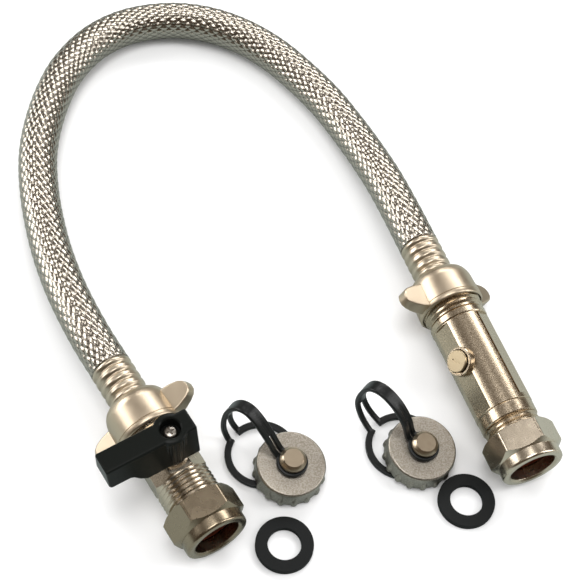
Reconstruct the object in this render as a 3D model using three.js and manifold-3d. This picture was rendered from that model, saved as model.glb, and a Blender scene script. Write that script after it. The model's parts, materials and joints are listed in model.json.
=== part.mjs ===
// A filling loop for a sealed heating system, laid out as it is sold: a quarter-turn lever valve and a
// double check valve joined by a braided hose, with two blanking caps on straps and two loose washers.
// Millimetres, +Z up. Each valve is built along its own axis: x runs from the mouth towards the hose,
// y to the left of that, z up, and then the whole valve is laid on the table.
import * as THREE from 'three';
import { mergeVertices } from 'three/addons/utils/BufferGeometryUtils.js';
import Module from 'manifold-3d';

const wasm = await Module();
wasm.setup();

// Sizes shared by both ends.
const GAP = 0.3;                    // free space between separate pieces
const PIPE_HOLE = 15.4;             // hole for the 15 mm copper pipe
const PIPE_STOP = 18;               // how far the pipe goes in from the mouth
const WATERWAY = 9.2;               // bore behind the pipe stop
const SMALL_THREAD = 19;            // outside diameter of the compression thread
const SMALL_PITCH = 1.5;
const LARGE_THREAD = 20.6;          // outside diameter of the hose-side thread
const LARGE_PITCH = 1.814;
const THREAD_PLAY = 0.6;            // on the diameter, nut thread over body thread
const NUT_FLATS = 22;
const NUT_LENGTH = 12.8;
const NUT_COLLAR_LENGTH = 4;
const NUT_COLLAR = 21;
const BODY_START = 7.2;             // body face inside the compression nut
const CONE_MOUTH = 17.2;            // wide end of the cone that squeezes the olive
const OLIVE_LENGTH = 4;
const OLIVE_WIDEST = 16.4;
const THREAD_DEPTH = 0.45;          // as a share of the pitch

// Hose joint, measured from the rim of the wing nut.
const WING_NUT_LENGTH = 14;
const WING_NUT_WIDTH = 23;
const WING_REACH = 19;              // from the axis to the tip of a wing
const WING_THICKNESS = 3.6;         // at the tip
const WING_ROOT = 8.4;              // thickness where both wings meet on the axis
const BODY_IN_NUT = 7.4;            // body thread hidden in the wing nut
const WASHER_WIDTH = 18.5;
const WASHER_HOLE = 10.7;
const WASHER_THICKNESS = 2;
const FLANGE_WIDTH = WASHER_WIDTH + 0.5;
const FLANGE_THICKNESS = 1.3;
const TAIL_WIDTH = 10.4;
const TAIL_BORE = 8;
const FERRULE_WIDTH = 14;
const FERRULE_LENGTH = 14;
const FERRULE_BORE = 11;
const FERRULE_GROOVES = 5;
const HOSE_WIDTH = 14;
const HOSE_CLEAR = 0.1;             // under the hose where it lies on the table

// Lever valve.
const LEVER_RIM = 40.6;              // wing nut rim, from the mouth
const STEM_AT = 29;
const BALL_WIDTH = 12.2;
const BALL_BORE = 8.6;
const CHAMBER = 13.8;
const LEVER_BARREL = 17.7;          // across the flats
const BARREL_START = 22;
const BARREL_END = 36.6;
const BOSS_WIDTH = 11.2;
const BOSS_TOP = 10;
const LEVER_UNDERSIDE = BOSS_TOP + GAP;
const LEVER_TOP = 25;
const LEVER_LONG = 23.5;
const LEVER_SHORT = 7.2;
const LEVER_HUB = 11;
const LEVER_WIDTH_TOP = 7.3;
const LEVER_WIDTH_FOOT = 10.4;
const RECESS_WIDTH = 6.6;
const RECESS_FLOOR = 21;
const STEM_WIDTH = 5.8;
const SQUARE = 4.2;

// Double check valve.
const CHECK_RIM = 62.6;
const CHECK_BARREL = 18.8;          // across the flats
const CHECK_CHAMBER = 14.4;
const CHECK_CHAMBER_WIDE = 15;
const PANEL_START = 21;
const PANEL_END = 56;
const PLUG_AT = 40.75;
const PLUG_TURN = 53.5;             // degrees from straight up, towards the left
const PLUG_HEAD = 6.6;
const GROOVE_TURN = 9;              // degrees from straight up, towards the right
const GROOVE_LENGTH = PANEL_END - PANEL_START - 2.2;
const HOUSING_LENGTH = 16;
const FIRST_CHECK_AT = 20.3;
const SECOND_CHECK_AT = 45.3;

// Caps, straps and loose washers.
const CAP_WIDTH = 22.6;
const CAP_FACE = 21.2;
const CAP_HEIGHT = 7.4;
const CAP_LUGS = 16;
const CAP_LUG_REACH = 12;
const POST_NECK = 6;
const POST_HEAD = 8.6;
const STRAP_THICK = 1.5;
const RING_WIDTH = 24;
const RING_BAND = 1.9;
const STRAND = 1.8;
const EYE_WIDTH = 10.2;
const EYE_HOLE = 6.6;

// Where things lie on the table. Angles are in degrees, turned from +x towards +y.
const MIDDLE = [16, 217];           // what becomes the origin
const LEVER_NUT_TURN = 30;          // a flat of the hexagon faces up
const CHECK_NUT_TURN = -14;         // a corner of the hexagon is a little left of the top
const NUT_CORNER = NUT_FLATS / Math.sqrt(3) - 0.2;
const LEVER_END = {
  mouth: [-13.1, 159.9], turn: 127.85, height: Math.max(WING_NUT_WIDTH, NUT_FLATS) / 2,
};
const CHECK_END = {
  mouth: [83.69, 195.66], turn: 116.5,
  height: Math.max(WING_NUT_WIDTH / 2, NUT_CORNER * Math.cos(CHECK_NUT_TURN * Math.PI / 180)),
};
const SIDES = 20;
const HIDDEN_SIDES = 12;

const degrees = (angle) => angle * Math.PI / 180;

// Making closed bodies.

function tidy(geometry) {
  let shape = geometry.index ? geometry.toNonIndexed() : geometry.clone();
  for (const name of Object.keys(shape.attributes)) {
    if (name !== 'position') shape.deleteAttribute(name);
  }
  shape = mergeVertices(shape, 1e-4);
  const place = shape.attributes.position;
  const corner = [new THREE.Vector3(), new THREE.Vector3(), new THREE.Vector3()];
  const kept = [];
  let volume = 0;
  for (let i = 0; i < shape.index.count; i += 3) {
    const ids = [0, 1, 2].map((k) => shape.index.getX(i + k));
    if (ids[0] === ids[1] || ids[1] === ids[2] || ids[2] === ids[0]) continue;
    ids.forEach((id, k) => corner[k].fromBufferAttribute(place, id));
    volume += corner[0].dot(corner[1].clone().cross(corner[2]));
    kept.push(ids);
  }
  if (volume < 0) kept.forEach((ids) => ids.reverse());
  shape.setIndex(kept.flat());
  return shape;
}

function body(geometry) {
  const shape = tidy(geometry);
  return new wasm.Manifold(new wasm.Mesh({
    numProp: 3,
    vertProperties: Float32Array.from(shape.attributes.position.array),
    triVerts: Uint32Array.from(shape.index.array),
  }));
}

function faces(solid) {
  const mesh = solid.getMesh();
  const shape = new THREE.BufferGeometry();
  const points = new Float32Array(mesh.numVert * 3);
  for (let i = 0; i < mesh.numVert; i += 1) {
    for (let k = 0; k < 3; k += 1) points[3 * i + k] = mesh.vertProperties[i * mesh.numProp + k];
  }
  shape.setAttribute('position', new THREE.BufferAttribute(points, 3));
  shape.setIndex([...mesh.triVerts]);
  return shape;
}

function join(...solids) {
  return solids.reduce((sum, next) => sum.add(next));
}

function cut(solid, ...tools) {
  return tools.reduce((left, tool) => left.subtract(tool), solid);
}

// A profile of [place along the axis, radius] pairs, turned about x.
function turned(profile, sides = SIDES) {
  const points = profile.map(([along, radius]) => new THREE.Vector2(radius, along));
  return new THREE.LatheGeometry(points, sides).rotateZ(-Math.PI / 2);
}

// The same about z, for things that stand upright.
function turnedUp(profile, sides = SIDES) {
  const points = profile.map(([along, radius]) => new THREE.Vector2(radius, along));
  return new THREE.LatheGeometry(points, sides).rotateX(Math.PI / 2);
}

function rod(from, to, width, sides = HIDDEN_SIDES) {
  return turned([[from, 0], [from, width / 2], [to, width / 2], [to, 0]], sides);
}

function rodUp(from, to, width, sides = HIDDEN_SIDES) {
  return turnedUp([[from, 0], [from, width / 2], [to, width / 2], [to, 0]], sides);
}

function block(centre, size) {
  return new THREE.BoxGeometry(...size).translate(...centre);
}

// A flat outline pushed along x; the outline is given as [y, z].
function alongX(outline, from, to) {
  const shape = new THREE.Shape(outline.map(([y, z]) => new THREE.Vector2(y, z)));
  const turn = new THREE.Matrix4().makeBasis(
    new THREE.Vector3(0, 1, 0), new THREE.Vector3(0, 0, 1), new THREE.Vector3(1, 0, 0));
  const solid = new THREE.ExtrudeGeometry(shape, { depth: to - from, bevelEnabled: false });
  return solid.applyMatrix4(turn).translate(from, 0, 0);
}

// A regular bar with the given number of flats. With turn 0 its first corner points straight up.
function polygonBar(sides, flats, from, to, turn = 0) {
  const radius = flats / 2 / Math.cos(Math.PI / sides);
  const outline = Array.from({ length: sides }, (_, i) => {
    const angle = degrees(turn) + (i / sides) * 2 * Math.PI;
    return [radius * Math.sin(angle), radius * Math.cos(angle)];
  });
  return alongX(outline, from, to);
}

// Ridges of a screw thread as profile points, going up along the axis.
function ridges(from, to, width, pitch) {
  const count = Math.floor((to - from) / pitch);
  const crest = width / 2;
  const root = crest - THREAD_DEPTH * pitch;
  const points = [];
  for (let i = 0; i < count; i += 1) {
    const start = from + i * pitch;
    points.push([start + 0.1 * pitch, root], [start + 0.6 * pitch, crest]);
  }
  points.push([from + (count + 0.1) * pitch, root]);
  return points;
}

function closed(profile) {
  return [...profile, profile[0]];
}

const nickel = { color: 0xcbbfa8, roughness: 0.28, metalness: 1 };
const brownNickel = { color: 0x9c8a6c, roughness: 0.3, metalness: 1 };
const copper = { color: 0x9a4a38, roughness: 0.4, metalness: 1 };
const brass = { color: 0xb8965a, roughness: 0.32, metalness: 1 };
const steel = { color: 0xb9b6ae, roughness: 0.3, metalness: 1 };
const braid = { color: 0x9d968c, roughness: 0.42, metalness: 0.9 };
const blackPlastic = { color: 0x121412, roughness: 0.3, metalness: 0 };
const blackRubber = { color: 0x17191a, roughness: 0.62, metalness: 0 };
const whitePlastic = { color: 0xe6e4dc, roughness: 0.45, metalness: 0 };
const greyPlastic = { color: 0x6e7478, roughness: 0.5, metalness: 0 };

function piece(name, geometry, finish) {
  const shape = geometry.isBufferGeometry ? tidy(geometry) : tidy(faces(geometry));
  shape.computeVertexNormals();
  const mesh = new THREE.Mesh(shape, new THREE.MeshStandardMaterial(finish));
  mesh.name = name;
  return mesh;
}

// Compression end.

function compressionNut(name, cornerTurn, finish) {
  const hex = body(polygonBar(6, NUT_FLATS, NUT_COLLAR_LENGTH - 0.1, NUT_LENGTH, cornerTurn));
  const envelope = body(turned([
    [0, 0], [0, NUT_FLATS / 2 - 0.4], [NUT_COLLAR_LENGTH - 0.1, NUT_FLATS / 2 - 0.4],
    [NUT_COLLAR_LENGTH + 1.3, NUT_CORNER], [NUT_LENGTH - 0.9, NUT_CORNER],
    [NUT_LENGTH, NUT_FLATS / 2 + 0.2], [NUT_LENGTH, 0],
  ]));
  const collar = body(turned([
    [0, 0], [0, NUT_COLLAR / 2 - 0.7], [0.7, NUT_COLLAR / 2], [NUT_COLLAR_LENGTH + 0.4, NUT_COLLAR / 2],
    [NUT_COLLAR_LENGTH + 0.4, 0],
  ]));
  const threadHole = SMALL_THREAD / 2 + THREAD_PLAY / 2;
  const bore = body(turned([
    [-1, 0], [-1, PIPE_HOLE / 2 + 0.6], [0, PIPE_HOLE / 2 + 0.6], [0.6, PIPE_HOLE / 2],
    [NUT_COLLAR_LENGTH, PIPE_HOLE / 2], [BODY_START - 1.4, threadHole - 0.5],
    [BODY_START - 0.9, threadHole], [NUT_LENGTH + 1, threadHole], [NUT_LENGTH + 1, 0],
  ]));
  return piece(name, cut(join(hex.intersect(envelope), collar), bore), finish);
}

function olive(name) {
  const start = NUT_COLLAR_LENGTH + 0.5;
  const inner = PIPE_HOLE / 2 - 0.1;
  return piece(name, turned(closed([
    [start, inner], [start, inner + 0.3], [start + OLIVE_LENGTH * 0.35, OLIVE_WIDEST / 2],
    [start + OLIVE_LENGTH * 0.65, OLIVE_WIDEST / 2], [start + OLIVE_LENGTH, inner + 0.3],
    [start + OLIVE_LENGTH, inner],
  ])), copper);
}

// Outside of a valve body from its face in the compression nut to the end of the visible thread.
function smallThreadOutline(end) {
  const crest = SMALL_THREAD / 2;
  return [
    [BODY_START, CONE_MOUTH / 2 + 0.2], [BODY_START + 0.5, crest], [NUT_LENGTH + 0.2, crest],
    ...ridges(NUT_LENGTH + 0.2, end, SMALL_THREAD, SMALL_PITCH),
  ];
}

// The pipe socket with its cone, from the waterway out to the mouth.
function socketBore() {
  return [
    [PIPE_STOP, WATERWAY / 2], [PIPE_STOP, PIPE_HOLE / 2],
    [BODY_START + 2.3, PIPE_HOLE / 2], [BODY_START, CONE_MOUTH / 2],
  ];
}

// Hose-side thread up to the end face of the body. The part in the wing nut is plain.
function largeThreadOutline(start, rim) {
  const crest = LARGE_THREAD / 2;
  const end = rim + BODY_IN_NUT;
  return [
    ...ridges(start, rim, LARGE_THREAD, LARGE_PITCH),
    [rim + 0.6, crest], [end - 0.8, crest], [end, crest - 0.8],
  ];
}

// Hose joint.

function wingNut(name, rim, wingTurn) {
  const radius = WING_NUT_WIDTH / 2;
  const end = rim + WING_NUT_LENGTH;
  const dome = body(turned([
    [rim, 0], [rim, radius - 0.7], [rim + 0.7, radius], [end - 4.6, radius - 0.2], [end - 2.2, radius - 0.9],
    [end - 0.7, radius - 2.1], [end, radius - 3.4], [end, 0],
  ]));
  // One plate carries both wings. Its outline lies in the plane of the axis and it thins towards the tips.
  const half = [
    [0.6, 0], [0.6, 11], [1.4, 14.2], [3.4, WING_REACH - 0.6], [5, WING_REACH],
    [8, WING_REACH - 0.7], [9.4, WING_REACH - 2.6], [10, 10], [10, 0],
  ];
  const outline = [...half, ...half.slice(1, -1).reverse().map(([along, out]) => [along, -out])];
  const shape = new THREE.Shape(outline.map(([along, out]) => new THREE.Vector2(rim + along, out)));
  const plate = body(new THREE.ExtrudeGeometry(shape, { depth: WING_ROOT, bevelEnabled: false })
    .translate(0, 0, -WING_ROOT / 2));
  const tip = WING_THICKNESS / 2;
  const root = WING_ROOT / 2;
  const taper = body(alongX([
    [-WING_REACH - 1, -tip], [0, -root], [WING_REACH + 1, -tip], [WING_REACH + 1, tip], [0, root],
    [-WING_REACH - 1, tip],
  ], rim, rim + 11));
  const wings = plate.intersect(taper).rotate([wingTurn, 0, 0]);
  const threadHole = LARGE_THREAD / 2 + THREAD_PLAY / 2;
  const seat = rim + BODY_IN_NUT + WASHER_THICKNESS + FLANGE_THICKNESS + 3 * GAP;
  const bore = body(turned([
    [rim - 1, 0], [rim - 1, threadHole + 0.3], [rim + 0.3, threadHole + 0.3], [rim + 0.6, threadHole],
    [rim + BODY_IN_NUT + 2, threadHole], [rim + BODY_IN_NUT + 2.4, FLANGE_WIDTH / 2 + GAP],
    [seat, FLANGE_WIDTH / 2 + GAP], [seat, TAIL_WIDTH / 2 + 0.6], [end + 1, TAIL_WIDTH / 2 + 0.6], [end + 1, 0],
  ]));
  return piece(name, cut(join(dome, wings), bore), nickel);
}

function washer(name, start) {
  return piece(name, turned(closed([
    [start, WASHER_HOLE / 2], [start, WASHER_WIDTH / 2], [start + WASHER_THICKNESS, WASHER_WIDTH / 2],
    [start + WASHER_THICKNESS, WASHER_HOLE / 2],
  ]), HIDDEN_SIDES), blackRubber);
}

function hoseTail(name, rim) {
  const face = rim + BODY_IN_NUT + WASHER_THICKNESS + 2 * GAP;
  const back = face + FLANGE_THICKNESS;
  const tip = rim + WING_NUT_LENGTH + FERRULE_LENGTH - 1;
  const barbs = [0, 1, 2].flatMap((i) => {
    const root = back + 4.5 + i * 3;
    return [[root, TAIL_WIDTH / 2 - 0.7], [root + 0.4, TAIL_WIDTH / 2]];
  });
  return piece(name, turned(closed([
    [face, TAIL_BORE / 2], [face, FLANGE_WIDTH / 2], [back, FLANGE_WIDTH / 2], [back, TAIL_WIDTH / 2],
    [back + 4.2, TAIL_WIDTH / 2], ...barbs, [tip, TAIL_WIDTH / 2 - 0.7], [tip, TAIL_BORE / 2],
  ]), HIDDEN_SIDES), brass);
}

function ferrule(name, rim) {
  const start = rim + WING_NUT_LENGTH + GAP;
  const end = start + FERRULE_LENGTH;
  const radius = FERRULE_WIDTH / 2;
  const step = (FERRULE_LENGTH - 1.6) / FERRULE_GROOVES;
  const grooves = Array.from({ length: FERRULE_GROOVES }, (_, i) => {
    const at = start + 1.4 + i * step;
    return [[at, radius], [at + 0.4 * step, radius - 0.6]];
  }).flat();
  return piece(name, turned(closed([
    [start, FERRULE_BORE / 2], [start, radius - 0.5], [start + 0.6, radius], ...grooves,
    [end - 0.3, radius], [end, radius - 0.3], [end, FERRULE_BORE / 2],
  ])), nickel);
}

function hoseJoint(label, rim, wingTurn) {
  return [
    wingNut(`wing_nut_${label}`, rim, wingTurn),
    washer(`joint_washer_${label}`, rim + BODY_IN_NUT + GAP),
    hoseTail(`hose_tail_${label}`, rim),
    ferrule(`ferrule_${label}`, rim),
  ];
}

// Lever valve.

function leverValve() {
  const crest = LARGE_THREAD / 2;
  const neck = SMALL_THREAD / 2 - 0.8;
  const end = LEVER_RIM + BODY_IN_NUT;
  const core = body(turned(closed([
    ...smallThreadOutline(BARREL_START - 1),
    [BARREL_START - 0.4, neck], [BARREL_START, LEVER_BARREL / 2], [BARREL_END, LEVER_BARREL / 2],
    [BARREL_END + 0.3, neck],
    ...largeThreadOutline(BARREL_END + 0.6, LEVER_RIM),
    [end, CHAMBER / 2], [BARREL_START, CHAMBER / 2], [BARREL_START, WATERWAY / 2],
    ...socketBore(),
  ])));
  const facets = body(polygonBar(8, LEVER_BARREL, BARREL_START, BARREL_END, 22.5));
  const rounding = body(turned([
    [BARREL_START, 0], [BARREL_START, LEVER_BARREL / 2], [BARREL_START + 0.6, LEVER_BARREL / 2 + 0.6],
    [BARREL_END - 0.6, LEVER_BARREL / 2 + 0.6], [BARREL_END, LEVER_BARREL / 2], [BARREL_END, 0],
  ]));
  const bored = body(rod(BARREL_START, BARREL_END + 1, CHAMBER));
  const shell = cut(facets.intersect(rounding), bored);
  const boss = body(rodUp(CHAMBER / 2 + 0.8, BOSS_TOP, BOSS_WIDTH, SIDES).translate(STEM_AT, 0, 0));
  const stemHole = body(rodUp(4, BOSS_TOP + 1, STEM_WIDTH + 0.4).translate(STEM_AT, 0, 0));
  const pocket = body(rodUp(5, 8.4, 8.2).translate(STEM_AT, 0, 0));
  const shellBody = piece('lever_valve_body', cut(join(core, shell, boss), stemHole, pocket), nickel);

  const seatWall = STEM_AT - BALL_WIDTH / 2 - 0.4;
  const seat = (name, mirrored) => {
    const profile = [
      [seatWall, WATERWAY / 2], [seatWall, CHAMBER / 2 - GAP], [seatWall + 2.9, CHAMBER / 2 - GAP],
      [seatWall + 2.9, 5.75], [seatWall + 1.85, WATERWAY / 2],
    ].map(([x, r]) => [mirrored ? 2 * STEM_AT - x : x, r]);
    return piece(name, turned(closed(profile), HIDDEN_SIDES), whitePlastic);
  };

  const ballSphere = body(new THREE.SphereGeometry(BALL_WIDTH / 2, 20, 12).translate(STEM_AT, 0, 0));
  const ballBore = body(new THREE.CylinderGeometry(BALL_BORE / 2, BALL_BORE / 2, BALL_WIDTH + 2, HIDDEN_SIDES)
    .translate(STEM_AT, 0, 0));
  const ballSlot = body(block([STEM_AT, 0, BALL_WIDTH / 2], [BALL_WIDTH + 2, 2.8, 3]));
  const ball = piece('valve_ball', cut(ballSphere, ballBore, ballSlot), steel);

  const retainerStart = 2 * STEM_AT - seatWall + GAP;
  const retainer = cut(
    body(rod(retainerStart, retainerStart + 6.5, CHAMBER - 2 * GAP)),
    body(rod(retainerStart - 1, retainerStart + 8, WATERWAY)),
    body(polygonBar(6, WATERWAY + 1.2, retainerStart + 3, retainerStart + 8)));

  const tang = body(block([0, 0, 6.2], [5.4, 2.2, 2]));
  const shaft = body(turnedUp([
    [6.7, 0], [6.7, 3.7], [7.4, 3.7], [7.4, STEM_WIDTH / 2], [9, STEM_WIDTH / 2], [9, 2.3], [9.9, 2.3],
    [9.9, STEM_WIDTH / 2], [LEVER_UNDERSIDE, STEM_WIDTH / 2], [LEVER_UNDERSIDE, 0],
  ], HIDDEN_SIDES));
  const squareTop = body(block([0, 0, (LEVER_UNDERSIDE + 19) / 2 - 0.1],
    [SQUARE, SQUARE, 19 - LEVER_UNDERSIDE + 0.2]));
  const screwHole = body(rodUp(12.5, 20, 2.9, 16));
  const stem = piece('valve_stem', cut(join(tang, shaft, squareTop), screwHole).translate([STEM_AT, 0, 0]), brass);

  const thrustSeal = turnedUp(closed([[7.55, 3.05], [7.55, 3.85], [8.25, 3.85], [8.25, 3.05]]), HIDDEN_SIDES)
    .translate(STEM_AT, 0, 0);
  const ringSeal = turnedUp(closed([[9.1, 2.4], [9.1, 3], [9.8, 3], [9.8, 2.4]]), HIDDEN_SIDES)
    .translate(STEM_AT, 0, 0);

  const screwTop = RECESS_FLOOR + GAP + 1.7;
  const screwBlank = body(turnedUp([
    [13.5, 0], [13.5, 1.25], [RECESS_FLOOR + GAP, 1.25], [RECESS_FLOOR + GAP, 2.3], [screwTop - 0.5, 2.3],
    [screwTop, 1.7], [screwTop, 0],
  ], HIDDEN_SIDES));
  const cross = body(block([0, 0, screwTop], [2.6, 0.6, 1.4]));
  const crossOther = body(block([0, 0, screwTop], [0.6, 2.6, 1.4]));
  const screw = piece('lever_screw', cut(screwBlank, cross, crossOther).translate([STEM_AT, 0, 0]), steel);

  const valve = new THREE.Group();
  valve.name = 'lever_end';
  valve.add(
    shellBody,
    seat('ball_seat_mouth_side', false),
    seat('ball_seat_hose_side', true),
    ball,
    piece('ball_retainer', retainer, brass),
    stem,
    piece('stem_thrust_seal', thrustSeal, whitePlastic),
    piece('stem_ring_seal', ringSeal, blackRubber),
    piece('lever', leverHandle(), blackPlastic),
    screw,
    compressionNut('lever_end_nut', LEVER_NUT_TURN, brownNickel),
    olive('lever_end_olive'),
    ...hoseJoint('lever_end', LEVER_RIM, -28),
  );
  return valve;
}

// The handle: a long arm and a short one, deep at the hub, stepped up so that it clears the nuts.
function leverHandle() {
  const outline = [
    [-LEVER_SHORT, LEVER_TOP], [-LEVER_SHORT - 0.6, LEVER_UNDERSIDE], [10.8, LEVER_UNDERSIDE], [15.6, 15.4],
    [LEVER_LONG - 0.6, 15.6], [LEVER_LONG, LEVER_TOP],
  ];
  const arms = body(alongX(outline, -8, 8));
  const foot = LEVER_WIDTH_FOOT / 2;
  const top = LEVER_WIDTH_TOP / 2;
  const taperShape = new THREE.Shape([
    new THREE.Vector2(-foot, LEVER_UNDERSIDE - 1), new THREE.Vector2(foot, LEVER_UNDERSIDE - 1),
    new THREE.Vector2(top, LEVER_TOP + 1), new THREE.Vector2(-top, LEVER_TOP + 1),
  ]);
  const taper = body(new THREE.ExtrudeGeometry(taperShape, { depth: 2 * LEVER_LONG + 4, bevelEnabled: false })
    .rotateX(Math.PI / 2).translate(0, LEVER_LONG + 2, 0));
  const hub = body(rodUp(LEVER_UNDERSIDE, LEVER_TOP, LEVER_HUB, SIDES));
  const flutes = [-60, -20, 20, 60, 120, 160, 200, 240].map((angle) => body(
    rodUp(LEVER_UNDERSIDE - 1, LEVER_TOP - 1.5, 1.4, 8)
      .translate(LEVER_HUB / 2 + 0.2, 0, 0).rotateZ(degrees(angle))));
  const recess = body(rodUp(RECESS_FLOOR, LEVER_TOP + 1, RECESS_WIDTH, HIDDEN_SIDES));
  const screwWay = body(rodUp(18, RECESS_FLOOR + 1, 3, 16));
  const socket = body(block([0, 0, (LEVER_UNDERSIDE - 1 + 19.3) / 2],
    [SQUARE + 0.6, SQUARE + 0.6, 19.3 - LEVER_UNDERSIDE + 1]));
  return cut(join(arms.intersect(taper), cut(hub, ...flutes)), recess, screwWay, socket).translate([STEM_AT, 0, 0]);
}

// Double check valve.

function checkCartridge(order, start, width) {
  const radius = width / 2;
  const inside = radius - 1.5;
  const end = start + HOUSING_LENGTH;
  const shell = body(turned(closed([
    [start, 4], [start, radius], [start + 2, radius], [start + 2, radius - 0.8], [start + 3.4, radius - 0.8],
    [start + 3.4, radius], [end, radius], [end, inside], [end - 0.4, inside], [end - 0.4, 1.4], [end - 2, 1.4],
    [end - 2, inside], [start + 2, inside], [start + 2, 4],
  ]), HIDDEN_SIDES));
  const holes = [0, 1, 2, 3].map((i) => body(rod(end - 3, end + 1, 2.8, 8)
    .translate(0, 3.7, 0).rotateX(degrees(36 + 90 * i))));
  const headFace = start + 2 + GAP;
  const poppet = turned([
    [headFace, 0], [headFace, 4.3], [headFace + 0.6, 4.9], [headFace + 1.8, 4.9], [headFace + 2.4, 1.6],
    [headFace + 3, 1.1], [end + 0.4, 1.1], [end + 0.4, 0],
  ], HIDDEN_SIDES);
  const springStart = headFace + 2.8;
  const springEnd = end - 2.3;
  const springCurve = new Coil(springStart + 0.35, springEnd - 0.35, 2.6, 4.5);
  const wire = new THREE.Shape().absarc(0, 0, 0.35, 0, 2 * Math.PI);
  const spring = new THREE.ExtrudeGeometry(wire, {
    extrudePath: springCurve, steps: 36, curveSegments: 2, bevelEnabled: false,
  });
  const seal = turned(closed([
    [start + 2.2, radius - 0.65], [start + 2.2, radius + 0.1], [start + 3.2, radius + 0.1],
    [start + 3.2, radius - 0.65],
  ]), HIDDEN_SIDES);
  return [
    piece(`check_housing_${order}`, cut(shell, ...holes), whitePlastic),
    piece(`check_poppet_${order}`, poppet, greyPlastic),
    piece(`check_spring_${order}`, spring, steel),
    piece(`housing_seal_${order}`, seal, blackRubber),
  ];
}

// A coil of round wire about the x axis.
class Coil extends THREE.Curve {
  constructor(from, to, radius, turns) {
    super();
    Object.assign(this, { from, to, radius, turns });
  }

  getPoint(t, target = new THREE.Vector3()) {
    const angle = 2 * Math.PI * this.turns * t;
    return target.set(this.from + (this.to - this.from) * t, this.radius * Math.cos(angle),
      this.radius * Math.sin(angle));
  }
}

function checkValve() {
  const neck = SMALL_THREAD / 2 - 0.8;
  const end = CHECK_RIM + BODY_IN_NUT;
  const collar = CHECK_BARREL / 2 + 0.3;
  const threadStart = CHECK_RIM - 2 * LARGE_PITCH;
  const core = body(turned(closed([
    ...smallThreadOutline(PANEL_START - 4.5),
    [PANEL_START - 4.5, neck], [PANEL_START - 4.2, collar], [PANEL_START, collar], [PANEL_START + 0.5, neck],
    [PANEL_END - 0.5, neck], [PANEL_END, collar + 0.3], [threadStart - 0.6, collar + 0.3],
    [threadStart - 0.3, neck],
    ...largeThreadOutline(threadStart, CHECK_RIM),
    [end, CHECK_CHAMBER_WIDE / 2], [SECOND_CHECK_AT - GAP, CHECK_CHAMBER_WIDE / 2],
    [SECOND_CHECK_AT - GAP, CHECK_CHAMBER / 2], [FIRST_CHECK_AT - GAP, CHECK_CHAMBER / 2],
    [FIRST_CHECK_AT - GAP, WATERWAY / 2],
    ...socketBore(),
  ])));
  const facets = body(polygonBar(8, CHECK_BARREL, PANEL_START, PANEL_END, 14));
  const rounding = body(rod(PANEL_START, PANEL_END, CHECK_BARREL + 1.1, 48));
  const hollow = body(rod(PANEL_START - 1, PANEL_END + 1, CHECK_CHAMBER_WIDE + 0.4));
  const toward = (solid) => solid.rotateX(degrees(-PLUG_TURN)).translate(PLUG_AT, 0, 0);
  const boss = cut(body(toward(turnedUp([
    [CHECK_CHAMBER_WIDE / 2 - 1.2, 0], [CHECK_CHAMBER_WIDE / 2 - 1.2, 6.1], [CHECK_BARREL / 2 - 0.2, 6.1],
    [CHECK_BARREL / 2 + 1, 4.5], [CHECK_BARREL / 2 + 1, 0],
  ], SIDES))), hollow);
  const bossCup = body(toward(rodUp(CHECK_BARREL / 2 + 0.1, CHECK_BARREL / 2 + 2, PLUG_HEAD + 0.8)));
  const port = body(toward(rodUp(5, CHECK_BARREL / 2 + 2, 4.6, 16)));
  const groove = body(block([(PANEL_START + PANEL_END) / 2 - 1, 0, CHECK_BARREL / 2 + 0.6], [GROOVE_LENGTH, 0.8, 1.4])
    .rotateX(degrees(GROOVE_TURN)));
  const shell = cut(facets.intersect(rounding), hollow);
  const valveBody = cut(join(core, shell, boss), bossCup, port, groove);

  const sealBase = CHECK_BARREL / 2 + 0.1 + GAP;
  const plugSeal = toward(turnedUp(closed([
    [sealBase, 2.3], [sealBase, 3.1], [sealBase + 0.5, 3.1], [sealBase + 0.5, 2.3],
  ]), HIDDEN_SIDES));
  const headBase = sealBase + 0.5 + GAP;
  const plug = toward(turnedUp([
    [CHECK_CHAMBER / 2 + 0.6, 0], [CHECK_CHAMBER / 2 + 0.6, 1.9], [headBase, 1.9], [headBase, PLUG_HEAD / 2],
    [headBase + 0.9, PLUG_HEAD / 2], [headBase + 1.2, PLUG_HEAD / 2 - 0.4], [headBase + 1.2, 0],
  ], SIDES));

  const valve = new THREE.Group();
  valve.name = 'check_end';
  valve.add(
    piece('check_valve_body', valveBody, nickel),
    ...checkCartridge('first', FIRST_CHECK_AT, CHECK_CHAMBER - 0.6),
    ...checkCartridge('second', SECOND_CHECK_AT, CHECK_CHAMBER_WIDE - 0.6),
    piece('test_plug', plug, brass),
    piece('test_plug_seal', plugSeal, blackRubber),
    compressionNut('check_end_nut', CHECK_NUT_TURN, nickel),
    olive('check_end_olive'),
    ...hoseJoint('check_end', CHECK_RIM, 24),
  );
  return valve;
}

// Hose.

// The loop as it lies, between its two straight ends; the third number is how far it is still off the table.
const ROUTE = [
  [-74.9, 242, 3.4], [-82.7, 256.9, 1.6], [-88.2, 269.8, 0.3],
  [-93.3, 284.5, 0], [-97.1, 300.5, 0], [-98.2, 314.5, 0], [-97.2, 331.4, 0], [-94.1, 345.1, 0],
  [-86.6, 359.4, 0], [-75.4, 369.5, 0], [-59.8, 375.3, 0], [-45.5, 375.7, 0], [-31.4, 371.8, 0],
  [-18.1, 364.4, 0], [-6.1, 354.3, 0], [4.9, 343.1, 0], [14.4, 330.5, 0.4], [21.8, 318.7, 1.8],
  [29.4, 304.6, 4],
];

// A point on a valve's axis, on the table.
function onAxis(where, along) {
  const turn = degrees(where.turn);
  return new THREE.Vector3(
    where.mouth[0] + along * Math.cos(turn), where.mouth[1] + along * Math.sin(turn), where.height);
}

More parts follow.
